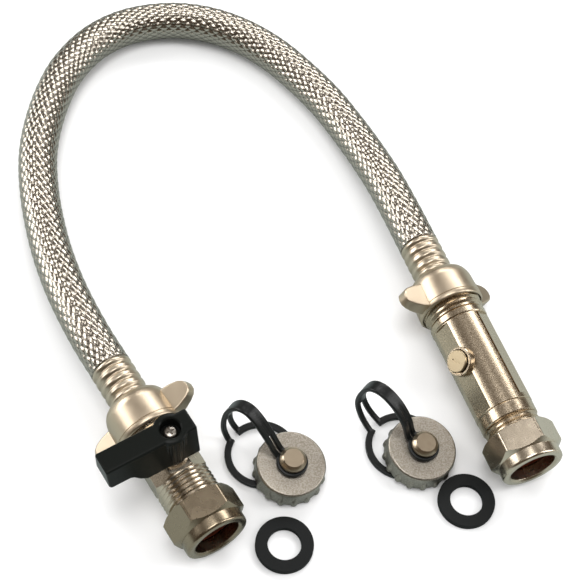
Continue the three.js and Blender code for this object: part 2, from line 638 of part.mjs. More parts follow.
function hose() {
  const reach = WING_NUT_LENGTH + FERRULE_LENGTH + 2 * GAP;
  const points = [
    onAxis(LEVER_END, LEVER_RIM + reach), onAxis(LEVER_END, LEVER_RIM + reach + HOSE_WIDTH),
    ...ROUTE.map(([x, y, lift]) => new THREE.Vector3(x, y, HOSE_WIDTH / 2 + HOSE_CLEAR + lift)),
    onAxis(CHECK_END, CHECK_RIM + reach + HOSE_WIDTH), onAxis(CHECK_END, CHECK_RIM + reach),
  ];
  const section = new THREE.Shape().absarc(0, 0, HOSE_WIDTH / 2, 0, 2 * Math.PI);
  return new THREE.ExtrudeGeometry(section, {
    extrudePath: new THREE.CatmullRomCurve3(points), steps: 36, curveSegments: 5, bevelEnabled: false,
  });
}

// Blanking cap and strap.

// A moulded strip that follows a curve in the x-z plane and may shift sideways on the way.
class StripPath extends THREE.Curve {
  constructor(points, sideways) {
    super();
    this.curve = new THREE.CatmullRomCurve3(points.map(([along, up]) => new THREE.Vector3(along, 0, up)));
    this.sideways = sideways;
  }

  getPoint(t, target = new THREE.Vector3()) {
    this.curve.getPoint(t, target);
    target.y = this.sideways(t);
    return target;
  }

  computeFrenetFrames(steps) {
    const frames = { tangents: [], normals: [], binormals: [] };
    for (let i = 0; i <= steps; i += 1) {
      const tangent = this.getTangentAt(i / steps);
      const flatTangent = new THREE.Vector3(tangent.x, 0, tangent.z).normalize();
      const side = new THREE.Vector3(0, 1, 0);
      frames.tangents.push(tangent);
      frames.normals.push(side);
      frames.binormals.push(flatTangent.cross(side));
    }
    return frames;
  }
}

function strip(points, sideways, width, steps) {
  const half = width / 2;
  const thick = STRAP_THICK / 2;
  const section = new THREE.Shape([
    new THREE.Vector2(-half, -thick), new THREE.Vector2(half, -thick),
    new THREE.Vector2(half, thick), new THREE.Vector2(-half, thick),
  ]);
  return body(new THREE.ExtrudeGeometry(section, {
    extrudePath: new StripPath(points, sideways), steps, bevelEnabled: false,
  }));
}

// A flat ring with an opening towards +x for the two strands.
function openRing(outside, inside, opening) {
  const start = Math.asin(opening / outside);
  const shape = new THREE.Shape();
  shape.absarc(0, 0, outside / 2, start, 2 * Math.PI - start, false);
  shape.absarc(0, 0, inside / 2, 2 * Math.PI - start, start, true);
  shape.closePath();
  return new THREE.ExtrudeGeometry(shape, { depth: STRAP_THICK, bevelEnabled: false, curveSegments: 9 });
}

function strapAndCap(label, layout) {
  const ringAt = layout.ring;
  const lowRim = (ringAt ** 2 + CAP_LUG_REACH ** 2 - (RING_WIDTH / 2) ** 2) / (2 * ringAt) - 0.4;
  const tilt = Math.asin((STRAP_THICK + GAP) / (CAP_LUG_REACH + lowRim));
  const tilted = (solid) => {
    const turn = new THREE.Matrix4().makeRotationY(-tilt);
    const lift = new THREE.Matrix4().makeTranslation(0, 0, CAP_LUG_REACH * Math.sin(tilt));
    return solid.applyMatrix4(turn).applyMatrix4(lift);
  };

  const radius = CAP_WIDTH / 2;
  const shell = body(turnedUp([
    [0, 0], [0, radius], [CAP_HEIGHT - 0.9, radius], [CAP_HEIGHT, CAP_FACE / 2], [CAP_HEIGHT, 0],
  ], 32));
  const lugs = Array.from({ length: CAP_LUGS }, (_, i) => body(
    turnedUp([[0, 0], [0, 1.3], [CAP_HEIGHT - 3, 1.2], [CAP_HEIGHT - 1.4, 0.5], [CAP_HEIGHT - 1.4, 0]], 6)
      .translate(CAP_LUG_REACH - 1.3, 0, 0).rotateZ(i / CAP_LUGS * 2 * Math.PI)));
  const hollow = body(turnedUp([
    [-1, 0], [-1, LARGE_THREAD / 2 + 0.5], [0, LARGE_THREAD / 2 + 0.5], [0.5, LARGE_THREAD / 2 + 0.2],
    [CAP_HEIGHT - 1.8, LARGE_THREAD / 2 + 0.2], [CAP_HEIGHT - 1.8, 0],
  ], 32));
  const rivetHole = body(rodUp(0, CAP_HEIGHT + 1, 4.4));
  const cap = tilted(tidy(faces(cut(join(shell, ...lugs), hollow, rivetHole))));

  const eyeBase = CAP_HEIGHT + GAP;
  const headBase = eyeBase + STRAP_THICK + GAP;
  const post = tilted(turnedUp([
    [CAP_HEIGHT - 2.8, 0], [CAP_HEIGHT - 2.8, 3], [CAP_HEIGHT - 2.1, 3], [CAP_HEIGHT - 2.1, 1.9],
    [CAP_HEIGHT + GAP, 1.9], [CAP_HEIGHT + GAP, POST_NECK / 2], [headBase, POST_NECK / 2],
    [headBase, POST_HEAD / 2 - 0.2], [headBase + 0.4, POST_HEAD / 2], [headBase + 1.3, POST_HEAD / 2],
    [headBase + 2.2, POST_HEAD / 2 - 0.5], [headBase + 2.6, POST_HEAD / 2 - 1.35], [headBase + 2.6, 0],
  ], HIDDEN_SIDES));

  const middle = eyeBase + STRAP_THICK / 2;
  const eyeEdge = EYE_HOLE / 2 + 0.9;
  const vAt = ringAt + RING_WIDTH / 2 - RING_BAND / 2;
  const leanUp = (x, z) => [
    x * Math.cos(tilt) - z * Math.sin(tilt),
    x * Math.sin(tilt) + z * Math.cos(tilt) + CAP_LUG_REACH * Math.sin(tilt),
  ];
  const path = [leanUp(eyeEdge, middle), leanUp(eyeEdge + 1.2, middle + 0.35), ...layout.fold,
    [vAt + 0.5, STRAP_THICK / 2 + 0.35], [vAt - 0.6, STRAP_THICK / 2]];
  const spread = (t) => {
    if (t > 0.62) return STRAND / 2 + 0.35 + 1.2 * ((t - 0.62) / 0.38) ** 1.5;
    return STRAND / 2 + 0.35;
  };
  const bandPath = path.slice(2, -3);
  const eye = tilted(openRing(EYE_WIDTH, EYE_HOLE, 1.6).translate(0, 0, eyeBase));
  const strapBody = join(
    body(openRing(RING_WIDTH, RING_WIDTH - 2 * RING_BAND, 3.4).translate(ringAt, 0, 0)),
    body(eye),
    strip(path, spread, STRAND, 16),
    strip(path, (t) => -spread(t), STRAND, 16),
    strip(bandPath, () => 0, 2 * STRAND, 9),
  );

  const group = new THREE.Group();
  group.name = `cap_set_${label}`;
  group.add(
    piece(`blanking_cap_${label}`, cap, nickel),
    piece(`cap_post_${label}`, post, brass),
    piece(`cap_strap_${label}`, strapBody, blackPlastic),
  );
  group.position.set(...layout.post, 0);
  group.rotation.z = degrees(layout.turn);
  return group;
}

const CAPS = {
  left: {
    post: [6.1, 189.8], turn: 150.1, ring: 10.8,
    fold: [[8.8, 17], [13.8, 22.8], [17, 24.6], [20.2, 23.6], [23.4, 18.8], [25, 12], [24.6, 5]],
  },
  right: {
    post: [47.6, 200.8], turn: 147, ring: 6.3,
    fold: [[7.2, 17.6], [12.2, 23.2], [17.4, 25.2], [21.2, 23.8], [24, 18], [24.6, 10.4], [21.6, 4.4]],
  },
};

// A washer that lies flat beside a cap: in which direction from the post, and how much free space is between.
function looseWasher(name, cap, direction, space) {
  const away = CAP_LUG_REACH + WASHER_WIDTH / 2 + space;
  const mesh = piece(name, turnedUp(closed([
    [0, WASHER_HOLE / 2], [0, WASHER_WIDTH / 2], [WASHER_THICKNESS, WASHER_WIDTH / 2],
    [WASHER_THICKNESS, WASHER_HOLE / 2],
  ])), blackRubber);
  mesh.position.set(
    cap.post[0] + away * Math.cos(degrees(direction)), cap.post[1] + away * Math.sin(degrees(direction)), 0);
  return mesh;
}

// Laying everything out.

function lay(group, where) {
  group.position.set(...where.mouth, where.height);
  group.rotation.z = degrees(where.turn);
  return group;
}

const layout = new THREE.Group();
layout.name = 'layout';
layout.add(
  lay(leverValve(), LEVER_END),
  lay(checkValve(), CHECK_END),
  piece('braided_hose', hose(), braid),
  strapAndCap('left', CAPS.left),
  strapAndCap('right', CAPS.right),
  looseWasher('loose_washer_left', CAPS.left, -87, 3.8),
  looseWasher('loose_washer_right', CAPS.right, -39.7, 0.34),
);
layout.position.set(-MIDDLE[0], -MIDDLE[1], 0);

const fillingLoop = new THREE.Group();
fillingLoop.name = 'filling_loop';
fillingLoop.add(layout);

export default fillingLoop;
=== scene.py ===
# %% [markdown]
# A filling loop: a braided hose between a lever valve and a double check valve, with two caps and two
# washers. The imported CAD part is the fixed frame. Its flat-sided solids could be shown as they are, but a
# close look wants rounder shapes, so each piece that is seen is made again here and stands for its CAD
# node.
# %% Load the frame
import bmesh
import bpy
import json
import math
from mathutils import Matrix, Vector


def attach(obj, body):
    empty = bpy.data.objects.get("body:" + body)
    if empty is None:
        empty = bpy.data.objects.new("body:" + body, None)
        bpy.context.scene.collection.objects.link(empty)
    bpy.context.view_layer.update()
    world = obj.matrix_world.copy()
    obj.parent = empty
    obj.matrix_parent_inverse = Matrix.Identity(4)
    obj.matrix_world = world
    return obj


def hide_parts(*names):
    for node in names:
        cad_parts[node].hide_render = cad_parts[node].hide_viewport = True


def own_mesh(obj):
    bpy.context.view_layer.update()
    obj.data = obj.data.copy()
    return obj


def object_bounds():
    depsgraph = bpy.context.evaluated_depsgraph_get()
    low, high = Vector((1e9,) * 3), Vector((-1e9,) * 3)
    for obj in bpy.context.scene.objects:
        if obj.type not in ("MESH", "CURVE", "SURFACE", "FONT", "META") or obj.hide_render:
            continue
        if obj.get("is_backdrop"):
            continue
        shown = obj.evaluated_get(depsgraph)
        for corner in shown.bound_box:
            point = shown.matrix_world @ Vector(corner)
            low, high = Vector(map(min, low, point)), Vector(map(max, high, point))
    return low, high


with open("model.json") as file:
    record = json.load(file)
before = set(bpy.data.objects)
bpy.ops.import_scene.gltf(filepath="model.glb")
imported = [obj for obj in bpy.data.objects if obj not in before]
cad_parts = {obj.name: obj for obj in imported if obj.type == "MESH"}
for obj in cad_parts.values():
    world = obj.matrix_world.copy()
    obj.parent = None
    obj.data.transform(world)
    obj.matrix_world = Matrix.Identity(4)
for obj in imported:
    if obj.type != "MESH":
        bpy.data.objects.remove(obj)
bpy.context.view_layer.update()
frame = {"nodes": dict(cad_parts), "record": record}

# %% [markdown]
# Both valves are turned parts that lie at a slant. They could be drawn where they lie, but then no size
# would be a plain number. So each is drawn along its own axis in millimetres and laid on the table
# afterwards: x runs from the open mouth towards the hose, y to the left of that and z up.
# %% Places of the two valves
MM = 0.001
MIDDLE = Vector((16, 217, 0))
NUT_FLATS = 22
NUT_CORNER = NUT_FLATS / math.sqrt(3) - 0.2
CHECK_NUT_TURN = 14
WING_NUT_WIDTH = 23
LEVER_RIM, CHECK_RIM = 40.6, 62.6

def laid(x, y, height, turn):
    """Where a piece drawn along x goes: its start in millimetres and its turn in degrees."""
    return (Matrix.Scale(MM, 4) @ Matrix.Translation(Vector((x, y, height)) - MIDDLE)
            @ Matrix.Rotation(math.radians(turn), 4, "Z"))

check_height = NUT_CORNER * math.cos(math.radians(CHECK_NUT_TURN))
LEVER_END = laid(-13.1, 159.9, WING_NUT_WIDTH / 2, 127.85)
CHECK_END = laid(83.69, 195.66, check_height, 116.5)
print("lever valve mouth at", LEVER_END.translation, "check valve mouth at", CHECK_END.translation)

# %% [markdown]
# The fittings are nickel-plated brass, tumbled before plating, so the plate is warm and slightly uneven.
# One even colour and gloss would look like paint. A fine noise moves the roughness here, lifts a very low
# bump and can mottle the metal with a second colour, as on the blasted caps.
# %% Metal and plastic finishes
BUMP_DEPTH = 0.2 * MM
NOISE_DETAIL = 3
SPECKS_TO, PLAIN_FROM = 0.4, 0.6

def two_tone(tree, factor, low, high, low_at, high_at):
    """Colours the shader from low to high while a value runs between two levels."""
    ramp = tree.nodes.new("ShaderNodeValToRGB")
    ends = ramp.color_ramp.elements
    ends[0].position, ends[1].position = low_at, high_at
    ends[0].color, ends[1].color = (*low, 1), (*high, 1)
    tree.links.new(factor, ramp.inputs["Fac"])
    tree.links.new(ramp.outputs["Color"], tree.nodes["Principled BSDF"].inputs["Base Color"])

def add_relief(tree, height, strength):
    relief = tree.nodes.new("ShaderNodeBump")
    relief.inputs["Strength"].default_value = strength
    relief.inputs["Distance"].default_value = BUMP_DEPTH
    tree.links.new(height, relief.inputs["Height"])
    tree.links.new(relief.outputs["Normal"], tree.nodes["Principled BSDF"].inputs["Normal"])

def material(name, colour, metal=0.0, rough=0.4, spread=0.06, bump=0.0, scale=900.0, shine=0.5, speck=None):
    mat = bpy.data.materials.new(name)
    mat.use_nodes = True
    tree = mat.node_tree
    shader = tree.nodes["Principled BSDF"]
    shader.inputs["Base Color"].default_value = (*colour, 1)
    shader.inputs["Metallic"].default_value = metal
    shader.inputs["Specular IOR Level"].default_value = shine
    place = tree.nodes.new("ShaderNodeTexCoord")
    noise = tree.nodes.new("ShaderNodeTexNoise")
    noise.inputs["Scale"].default_value = scale
    noise.inputs["Detail"].default_value = NOISE_DETAIL
    tree.links.new(place.outputs["Object"], noise.inputs["Vector"])
    to_rough = tree.nodes.new("ShaderNodeMapRange")
    to_rough.inputs["To Min"].default_value = rough - spread
    to_rough.inputs["To Max"].default_value = rough + spread
    tree.links.new(noise.outputs["Fac"], to_rough.inputs["Value"])
    tree.links.new(to_rough.outputs["Result"], shader.inputs["Roughness"])
    if speck:
        two_tone(tree, noise.outputs["Fac"], speck, colour, SPECKS_TO, PLAIN_FROM)
    if bump:
        add_relief(tree, noise.outputs["Fac"], bump)
    return mat

NICKEL = material("nickel plate", (0.60, 0.52, 0.41), metal=1, rough=0.26, bump=0.05, scale=260)
SATIN_NICKEL = material("satin nickel plate", (0.55, 0.46, 0.345), metal=1, rough=0.38, bump=0.05, scale=260)
BLASTED_NICKEL = material("blasted bar plate", (0.56, 0.47, 0.355), metal=1, rough=0.27, spread=0.05,
                          bump=0.12, scale=1900, speck=(0.51, 0.42, 0.305))
PLUG_PLATE = material("plated plug face", (0.54, 0.44, 0.29), metal=1, rough=0.36)
BROWN_NICKEL = material("brown nickel plate", (0.315, 0.258, 0.183), metal=1, rough=0.27, bump=0.05,
                        scale=260)
SLEEVE_NICKEL = material("rolled sleeve plate", (0.57, 0.49, 0.38), metal=1, rough=0.34, spread=0.04)
CAP_NICKEL = material("blasted nickel", (0.42, 0.385, 0.335), metal=1, rough=0.38, bump=0.4, scale=2100,
                      speck=(0.29, 0.26, 0.215))
COPPER = material("soft copper", (0.42, 0.12, 0.07), metal=0.9, rough=0.42, bump=0.2)
BRASS = material("machined brass", (0.62, 0.44, 0.20), metal=1, rough=0.28)
PLATED_BRASS = material("plated brass turnings", (0.46, 0.38, 0.28), metal=1, rough=0.33)
STEEL = material("bright steel", (0.40, 0.37, 0.33), metal=1, rough=0.3)
BLACK = material("black plastic", (0.006, 0.007, 0.006), rough=0.3, bump=0.04, scale=1200, shine=0.1)
STRAP_BLACK = material("strap plastic", (0.006, 0.007, 0.007), rough=0.34, bump=0.08, shine=0.3)
RUBBER = material("washer rubber", (0.008, 0.009, 0.009), rough=0.6, bump=0.25, scale=1800, shine=0.15)
WHITE = material("white bearing plastic", (0.80, 0.78, 0.72), rough=0.45)
GREY = material("grey moulded plastic", (0.16, 0.18, 0.20), rough=0.5)
print("finishes", len(bpy.data.materials))

# %% [markdown]
# The working pieces inside the valves stay as CAD solids. They could keep plain colours, since nobody sees
# them until a valve is cut open, but each gets the finish of its slot, so that a cutaway looks right too.
# %% Finishes on the CAD solids
BY_SLOT = {"nickel": NICKEL, "brown_nickel": BROWN_NICKEL, "copper": COPPER, "brass": BRASS, "steel": STEEL,
           "braid": STEEL, "black_plastic": BLACK, "black_rubber": RUBBER, "white_plastic": WHITE,
           "grey_plastic": GREY}
for row in frame["record"]["subparts"]:
    node = frame["nodes"][row["node"]]
    node.data.materials.clear()
    node.data.materials.append(BY_SLOT[row["material_slot"]])

# %% [markdown]
# Every machined edge of a real fitting is broken a little and catches a thin line of light. Those breaks
# could be drawn into each outline, but a bevel modifier adds them all at once, and weighted normals keep
# the flats flat. A piece also says which body it moves with and which CAD node it stands for.
# %% From a shape to a piece
SHARP, BEVEL_STEPS = 32, 2

def as_object(bm, name="scratch"):
    mesh = bpy.data.meshes.new(name)
    bm.to_mesh(mesh)
    bm.free()
    obj = bpy.data.objects.new(name, mesh)
    bpy.context.scene.collection.objects.link(obj)
    return obj

def smoothed(bm, name):
    obj = as_object(bm, name)
    obj.data.polygons.foreach_set("use_smooth", [True] * len(obj.data.polygons))
    return obj

def dress(obj, finish, body, node):
    """Gives an object its finish and the body it moves with, and hides the CAD node it stands for."""
    obj.data.materials.append(finish)
    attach(obj, body)
    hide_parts(node)

def piece(name, bm, place, finish, body, node, edge=0.0, angle=SHARP):
    """Lays a shape on the table. Edges that turn by more than the angle stay sharp, and edge breaks them."""
    bm.transform(place)
    open_edges = sum(len(e.link_faces) != 2 for e in bm.edges)
    obj = smoothed(bm, name)
    obj.data.set_sharp_from_angle(angle=math.radians(angle))
    if edge:
        bevel = obj.modifiers.new("edges", "BEVEL")
        bevel.width, bevel.segments, bevel.limit_method = edge * MM, BEVEL_STEPS, "ANGLE"
        bevel.angle_limit = math.radians(max(angle, SHARP))
    flat = obj.modifiers.new("flat_faces", "WEIGHTED_NORMAL")
    flat.keep_sharp = True
    dress(obj, finish, body, node)
    print(name, len(obj.data.polygons), "faces,", open_edges, "open edges, lowest point",
          round(min(v.co.z for v in obj.data.vertices) / MM, 2), "mm")
    return obj

# %% [markdown]
# Most of the fittings come off a lathe, where a tool follows half an outline. The same outline spun about
# its axis gives the shape here. A cylinder primitive would need a new cut for every shoulder and chamfer.
# %% Turned shapes
ROUND = 96
WELD = 1e-4

def spun(profile, steps=ROUND, closed=False):
    """Spins an outline of [along, radius] pairs about the x axis."""
    bm = bmesh.new()
    line = [bm.verts.new((along, radius, 0)) for along, radius in profile]
    edges = [bm.edges.new(pair) for pair in zip(line, line[1:])]
    if closed:
        edges.append(bm.edges.new((line[-1], line[0])))
    bmesh.ops.spin(bm, geom=line + edges, cent=(0, 0, 0), axis=(1, 0, 0), angle=2 * math.pi, steps=steps,
                   use_merge=True)
    bmesh.ops.remove_doubles(bm, verts=bm.verts, dist=WELD)
    bmesh.ops.recalc_face_normals(bm, faces=bm.faces)
    return bm

def upright(bm, x=0.0, y=0.0):
    """Stands a shape spun about x on end, so that it points up, and moves it."""
    bm.transform(Matrix.Translation((x, y, 0)) @ Matrix.Rotation(-math.pi / 2, 4, "Y"))
    return bm

print("a full turn takes", ROUND, "steps")

# %% [markdown]
# Milling and drilling take metal away from a turned blank. Boolean modifiers do the same to closed shapes,
# and the exact solver leaves clean edges where a tool breaks through. Faces laid by hand would have to be
# planned round every hole.
# %% Cuts and joins
def combine(kind, first, *others):
    """Joins, cuts or intersects closed shapes one after another."""
    target = as_object(first)
    tools = [as_object(bm) for bm in others]
    for tool in tools:
        step = target.modifiers.new("step", "BOOLEAN")
        step.operation, step.object, step.solver = kind, tool, "EXACT"
    shape = target.evaluated_get(bpy.context.evaluated_depsgraph_get())
    result = bmesh.new()
    result.from_mesh(shape.to_mesh())
    shape.to_mesh_clear()
    for obj in [target, *tools]:
        bpy.data.objects.remove(obj)
    bmesh.ops.remove_doubles(result, verts=result.verts, dist=WELD)
    bmesh.ops.dissolve_degenerate(result, edges=result.edges, dist=WELD)
    return result

# %% [markdown]
# A compression nut squeezes the olive onto the pipe. It is a hexagon bar with a turned collar and a bored
# mouth, and its corners are chamfered on the lathe. A bevel would cut all corners straight, so the hexagon
# is intersected with a turned envelope instead, which leaves the real curved chamfers.
# %% Compression nuts
NUT_LENGTH = 12.8
NUT_ROUNDING = NUT_CORNER - 0.12
COLLAR_LENGTH, COLLAR_WIDTH = 4, 21
PIPE_HOLE = 15.4
SMALL_THREAD, SMALL_PITCH = 19, 1.5

def bar(sides, flats, start, end, turn=0.0):
    """A bar with flats, lying along x. With turn 0 a corner points up."""
    bm = bmesh.new()
    radius = flats / 2 / math.cos(math.pi / sides)
    to_corner = math.pi / sides if sides % 4 == 2 else 0
    bmesh.ops.create_cone(bm, cap_ends=True, segments=sides, radius1=radius, radius2=radius,
                          depth=end - start)
    bm.transform(Matrix.Translation(((start + end) / 2, 0, 0)) @ Matrix.Rotation(-math.radians(turn), 4, "X")
                 @ Matrix.Rotation(math.pi / 2, 4, "Y") @ Matrix.Rotation(to_corner, 4, "Z"))
    return bm

def compression_nut(name, place, corner_turn, finish, body, node):
    collar_end, thread = COLLAR_LENGTH + 0.4, SMALL_THREAD / 2 + 0.3
    hexagon = bar(6, NUT_FLATS, COLLAR_LENGTH - 0.1, NUT_LENGTH, corner_turn)
    envelope = spun([[0, 0], [0, 10.6], [COLLAR_LENGTH - 0.1, 10.6], [COLLAR_LENGTH + 1.3, NUT_ROUNDING],
                     [NUT_LENGTH - 0.9, NUT_ROUNDING], [NUT_LENGTH, 11.2], [NUT_LENGTH, 0]])
    collar = spun([[0, 0], [0, 9.7], [0.15, 10.1], [0.5, 10.4], [1, COLLAR_WIDTH / 2],
                   [collar_end, COLLAR_WIDTH / 2], [collar_end, 0]])
    bore = spun([[-1, 0], [-1, 8.4], [0, 8.4], [0.6, PIPE_HOLE / 2], [COLLAR_LENGTH, PIPE_HOLE / 2],
                 [5.8, thread - 0.5], [6.3, thread], [NUT_LENGTH + 1, thread], [NUT_LENGTH + 1, 0]])
    blank = combine("UNION", combine("INTERSECT", hexagon, envelope), collar)
    piece(name, combine("DIFFERENCE", blank, bore), place, finish, body, node, edge=0.18)

compression_nut("lever_side_nut", LEVER_END, 30, BROWN_NICKEL, "nut_lever_end", "lever_end_nut")
compression_nut("check_side_nut", CHECK_END, -CHECK_NUT_TURN, NICKEL, "nut_check_end", "check_end_nut")

# %% [markdown]
# The olive is a soft copper ring, thickest in its middle, that shows as a red glow deep in the mouth. A
# torus would be too round. Its real section is a low roof, which a closed outline gives directly.
# %% Olives
def olive(name, place, body, node):
    start, inner = COLLAR_LENGTH + 0.5, PIPE_HOLE / 2 - 0.1
    ring = spun([[start, inner], [start, inner + 0.3], [start + 0.9, 8.05], [start + 2, 8.2],
                 [start + 3.1, 8.05], [start + 4, inner + 0.3], [start + 4, inner]], closed=True)
    piece(name, ring, place, COPPER, body, node, angle=50)

olive("lever_side_olive", LEVER_END, "olive_lever_end", "lever_end_olive")
olive("check_side_olive", CHECK_END, "olive_check_end", "check_end_olive")

# %% [markdown]
# A cast wing nut swivels on each end of the hose and is turned by hand. Its wings thin out towards their
# tips. A stretched block would have square tips, so the wings' outline is pushed up to a plate, cut with a
# section that tapers both ways, and rounded along its edges like a casting.
# %% Wing nuts
WING_NUT_LENGTH, WING_REACH = 14, 19
WING_ROOT, WING_TIP = 4.2, 1.8
LARGE_THREAD, LARGE_PITCH = 20.6, 1.814
X_TO_Y_TO_Z = Matrix(((0, 0, 1, 0), (1, 0, 0, 0), (0, 1, 0, 0), (0, 0, 0, 1)))

def slab(outline, low, high):
    """An outline in x and y, pushed up from z = low to z = high."""
    bm = bmesh.new()
    face = bm.faces.new([bm.verts.new((x, y, low)) for x, y in outline])
    pushed = bmesh.ops.extrude_face_region(bm, geom=[face])
    top = [v for v in pushed["geom"] if isinstance(v, bmesh.types.BMVert)]
    bmesh.ops.translate(bm, verts=top, vec=(0, 0, high - low))
    bmesh.ops.recalc_face_normals(bm, faces=bm.faces)
    return bm

def turn_about_axis(bm, angle):
    bm.transform(Matrix.Rotation(math.radians(angle), 4, "X"))
    return bm

def round_edges(bm, over):
    """Rounds every edge that turns by more than so many radians."""
    bmesh.ops.bevel(bm, geom=[e for e in bm.edges if e.calc_face_angle(0) > over], offset=0.7, segments=4,
                    affect="EDGES", profile=0.5, material=-1)

def wing_nut(name, place, rim, wing_turn, body, node):
    radius, end, beyond = WING_NUT_WIDTH / 2, rim + WING_NUT_LENGTH, WING_REACH + 1
    dome = spun([[rim, 0], [rim, radius - 0.7], [rim + 0.25, radius - 0.3], [rim + 0.7, radius],
                 [rim + 1.7, radius], [rim + 1.85, radius - 0.25], [rim + 2.1, radius - 0.25],
                 [rim + 2.25, radius - 0.02], [end - 4.6, radius - 0.3], [end - 3.4, radius - 0.55],
                 [end - 2.2, radius - 1], [end - 1.2, radius - 1.6], [end - 0.4, radius - 2.5],
                 [end, radius - 3.4], [end, 0]])
    half = [[0.8, 0], [0.8, 11], [1.2, 13.4], [2.2, 16.2], [3.3, 18], [4.6, WING_REACH - 0.1],
            [6.3, WING_REACH], [7.9, WING_REACH - 0.6], [9.1, WING_REACH - 2.2], [9.8, 14], [10, 11], [10, 0]]
    outline = half + [[along, -out] for along, out in reversed(half[1:-1])]
    plate = slab([(rim + along, out) for along, out in outline], -WING_ROOT - 0.2, WING_ROOT + 0.2)
    taper = slab([(-beyond, -WING_TIP), (0, -WING_ROOT), (beyond, -WING_TIP), (beyond, WING_TIP),
                  (0, WING_ROOT), (-beyond, WING_TIP)], rim, rim + 11)
    taper.transform(X_TO_Y_TO_Z)
    wings = turn_about_axis(combine("INTERSECT", plate, taper), wing_turn)
    round_edges(wings, 0.6)
    hole, seat = LARGE_THREAD / 2 + 0.3, rim + 11.6
    bore = spun([[rim - 1, 0], [rim - 1, hole + 0.3], [rim + 0.3, hole + 0.3], [rim + 0.6, hole],
                 [seat, hole], [seat, 5.8], [end + 1, 5.8], [end + 1, 0]])
    shape = combine("DIFFERENCE", combine("UNION", dome, wings), bore)
    piece(name, shape, place, SATIN_NICKEL, body, node, angle=38)

wing_nut("lever_side_wing_nut", LEVER_END, LEVER_RIM, -28, "wing_nut_lever", "wing_nut_lever_end")
wing_nut("check_side_wing_nut", CHECK_END, CHECK_RIM, 24, "wing_nut_check", "wing_nut_check_end")

# %% [markdown]
# A ferrule is a thin sleeve that rollers press round the braid. They leave four broad bulges with a fine
# line on each and narrower grooves between. The grooves could be cut with rings, but then they would have
# hard rims. A cosine raised to the third power keeps the crests broad and the grooves soft.
# %% Ferrules
FERRULE_WIDTH, FERRULE_LENGTH = 14, 14
SLEEVE_HOLE = 5.5
BULGES, POINTS_IN_BULGE = 4, 14
GROOVE_DEPTH, FINE_LINE = 0.75, 0.05
GAP = 0.3

def ferrule(name, place, rim, node):
    start = rim + WING_NUT_LENGTH + GAP
    radius, end = FERRULE_WIDTH / 2, start + FERRULE_LENGTH
    step = (FERRULE_LENGTH - 1.2) / BULGES
    wave = []
    for i in range(1, BULGES * POINTS_IN_BULGE):
        groove = 0.5 - 0.5 * math.cos(2 * math.pi * i / POINTS_IN_BULGE)
        line = FINE_LINE if i % POINTS_IN_BULGE == 0 else 0
        wave.append([start + 0.6 + i * step / POINTS_IN_BULGE, radius - GROOVE_DEPTH * groove ** 3 - line])
    profile = [[start, SLEEVE_HOLE], [start, radius - 0.5], [start + 0.3, radius - 0.1], *wave,
               [end - 0.5, radius], [end, radius - 0.35], [end, SLEEVE_HOLE]]
    piece(name, spun(profile, closed=True), place, SLEEVE_NICKEL, "loop", node, angle=50)

ferrule("lever_side_ferrule", LEVER_END, LEVER_RIM, "ferrule_lever_end")
ferrule("check_side_ferrule", CHECK_END, CHECK_RIM, "ferrule_check_end")

# %% [markdown]
# Behind each nut a stretch of real thread shows. A stack of rings would look right from afar, but its lines
# would never climb. So one small triangle is carried round the axis and along it at the same time, and the
# ridge is laid into a plain core without cutting it, which keeps the mesh light and closed.
# %% Threads
THREAD_STEPS = 48
RIDGE_FOOT = 0.25
SMALL_ROOT = SMALL_THREAD / 2 - 0.45 * SMALL_PITCH
LARGE_ROOT = LARGE_THREAD / 2 - 0.45 * LARGE_PITCH

def swept(bm, face, axis, angle, steps, along=(0, 0, 0)):
    """Carries a face round an axis, and along it by a small move at each step."""
    bmesh.ops.spin(bm, geom=[face, *face.verts, *face.edges], cent=(0, 0, 0), axis=axis, dvec=along,
                   angle=angle, steps=steps)
    bmesh.ops.recalc_face_normals(bm, faces=bm.faces)
    return bm

def screw_thread(start, turns, pitch, root, crest, inside=False):
    """One helical ridge. Its feet reach a little into the metal it stands on."""
    bm = bmesh.new()
    foot = root + RIDGE_FOOT if inside else root - RIDGE_FOOT
    corners = [(start, foot), (start + 0.5 * pitch, crest), (start + 0.98 * pitch, foot)]
    face = bm.faces.new([bm.verts.new((along, radius, 0)) for along, radius in corners])
    steps = int(THREAD_STEPS * turns)
    return swept(bm, face, (1, 0, 0), 2 * math.pi * turns, steps, (pitch * turns / steps, 0, 0))

def visible_threads(neck_at, start, rim):
    """The thread behind the compression nut and the one that runs into the wing nut."""
    small = screw_thread(NUT_LENGTH - 0.6, (neck_at - NUT_LENGTH) / SMALL_PITCH, SMALL_PITCH, SMALL_ROOT,
                         SMALL_THREAD / 2 - 0.2)
    large = screw_thread(start, (rim - start + 0.6) / LARGE_PITCH, LARGE_PITCH, LARGE_ROOT,
                         LARGE_THREAD / 2 - 0.03)
    return small, large

def merged(*shapes):
    """Puts several closed shapes into one mesh without cutting them."""
    whole = bmesh.new()
    for bm in shapes:
        mesh = bpy.data.meshes.new("part")
        bm.to_mesh(mesh)
        bm.free()
        whole.from_mesh(mesh)
        bpy.data.meshes.remove(mesh)
    return whole

print("thread depths", round(SMALL_THREAD / 2 - SMALL_ROOT, 2), round(LARGE_THREAD / 2 - LARGE_ROOT, 2), "mm")

# %% [markdown]
# Both valve bodies start and end alike: a pipe socket with the cone that squeezes the olive, and a threaded
# end for the wing nut. These stretches are kept as outlines, so that each body is still one turned shape.
# Separate rings joined on would leave seams where a lathe leaves none.
# %% Ends of a valve body
PIPE_STOP, WATERWAY = 18, 9.2
BODY_START, BODY_IN_NUT = 7.2, 7.4

def mouth_outline(neck_at):
    crest = SMALL_THREAD / 2
    return [[BODY_START, 8.8], [BODY_START + 0.5, crest], [NUT_LENGTH + 0.2, crest],
            [NUT_LENGTH + 0.3, SMALL_ROOT], [neck_at, SMALL_ROOT]]

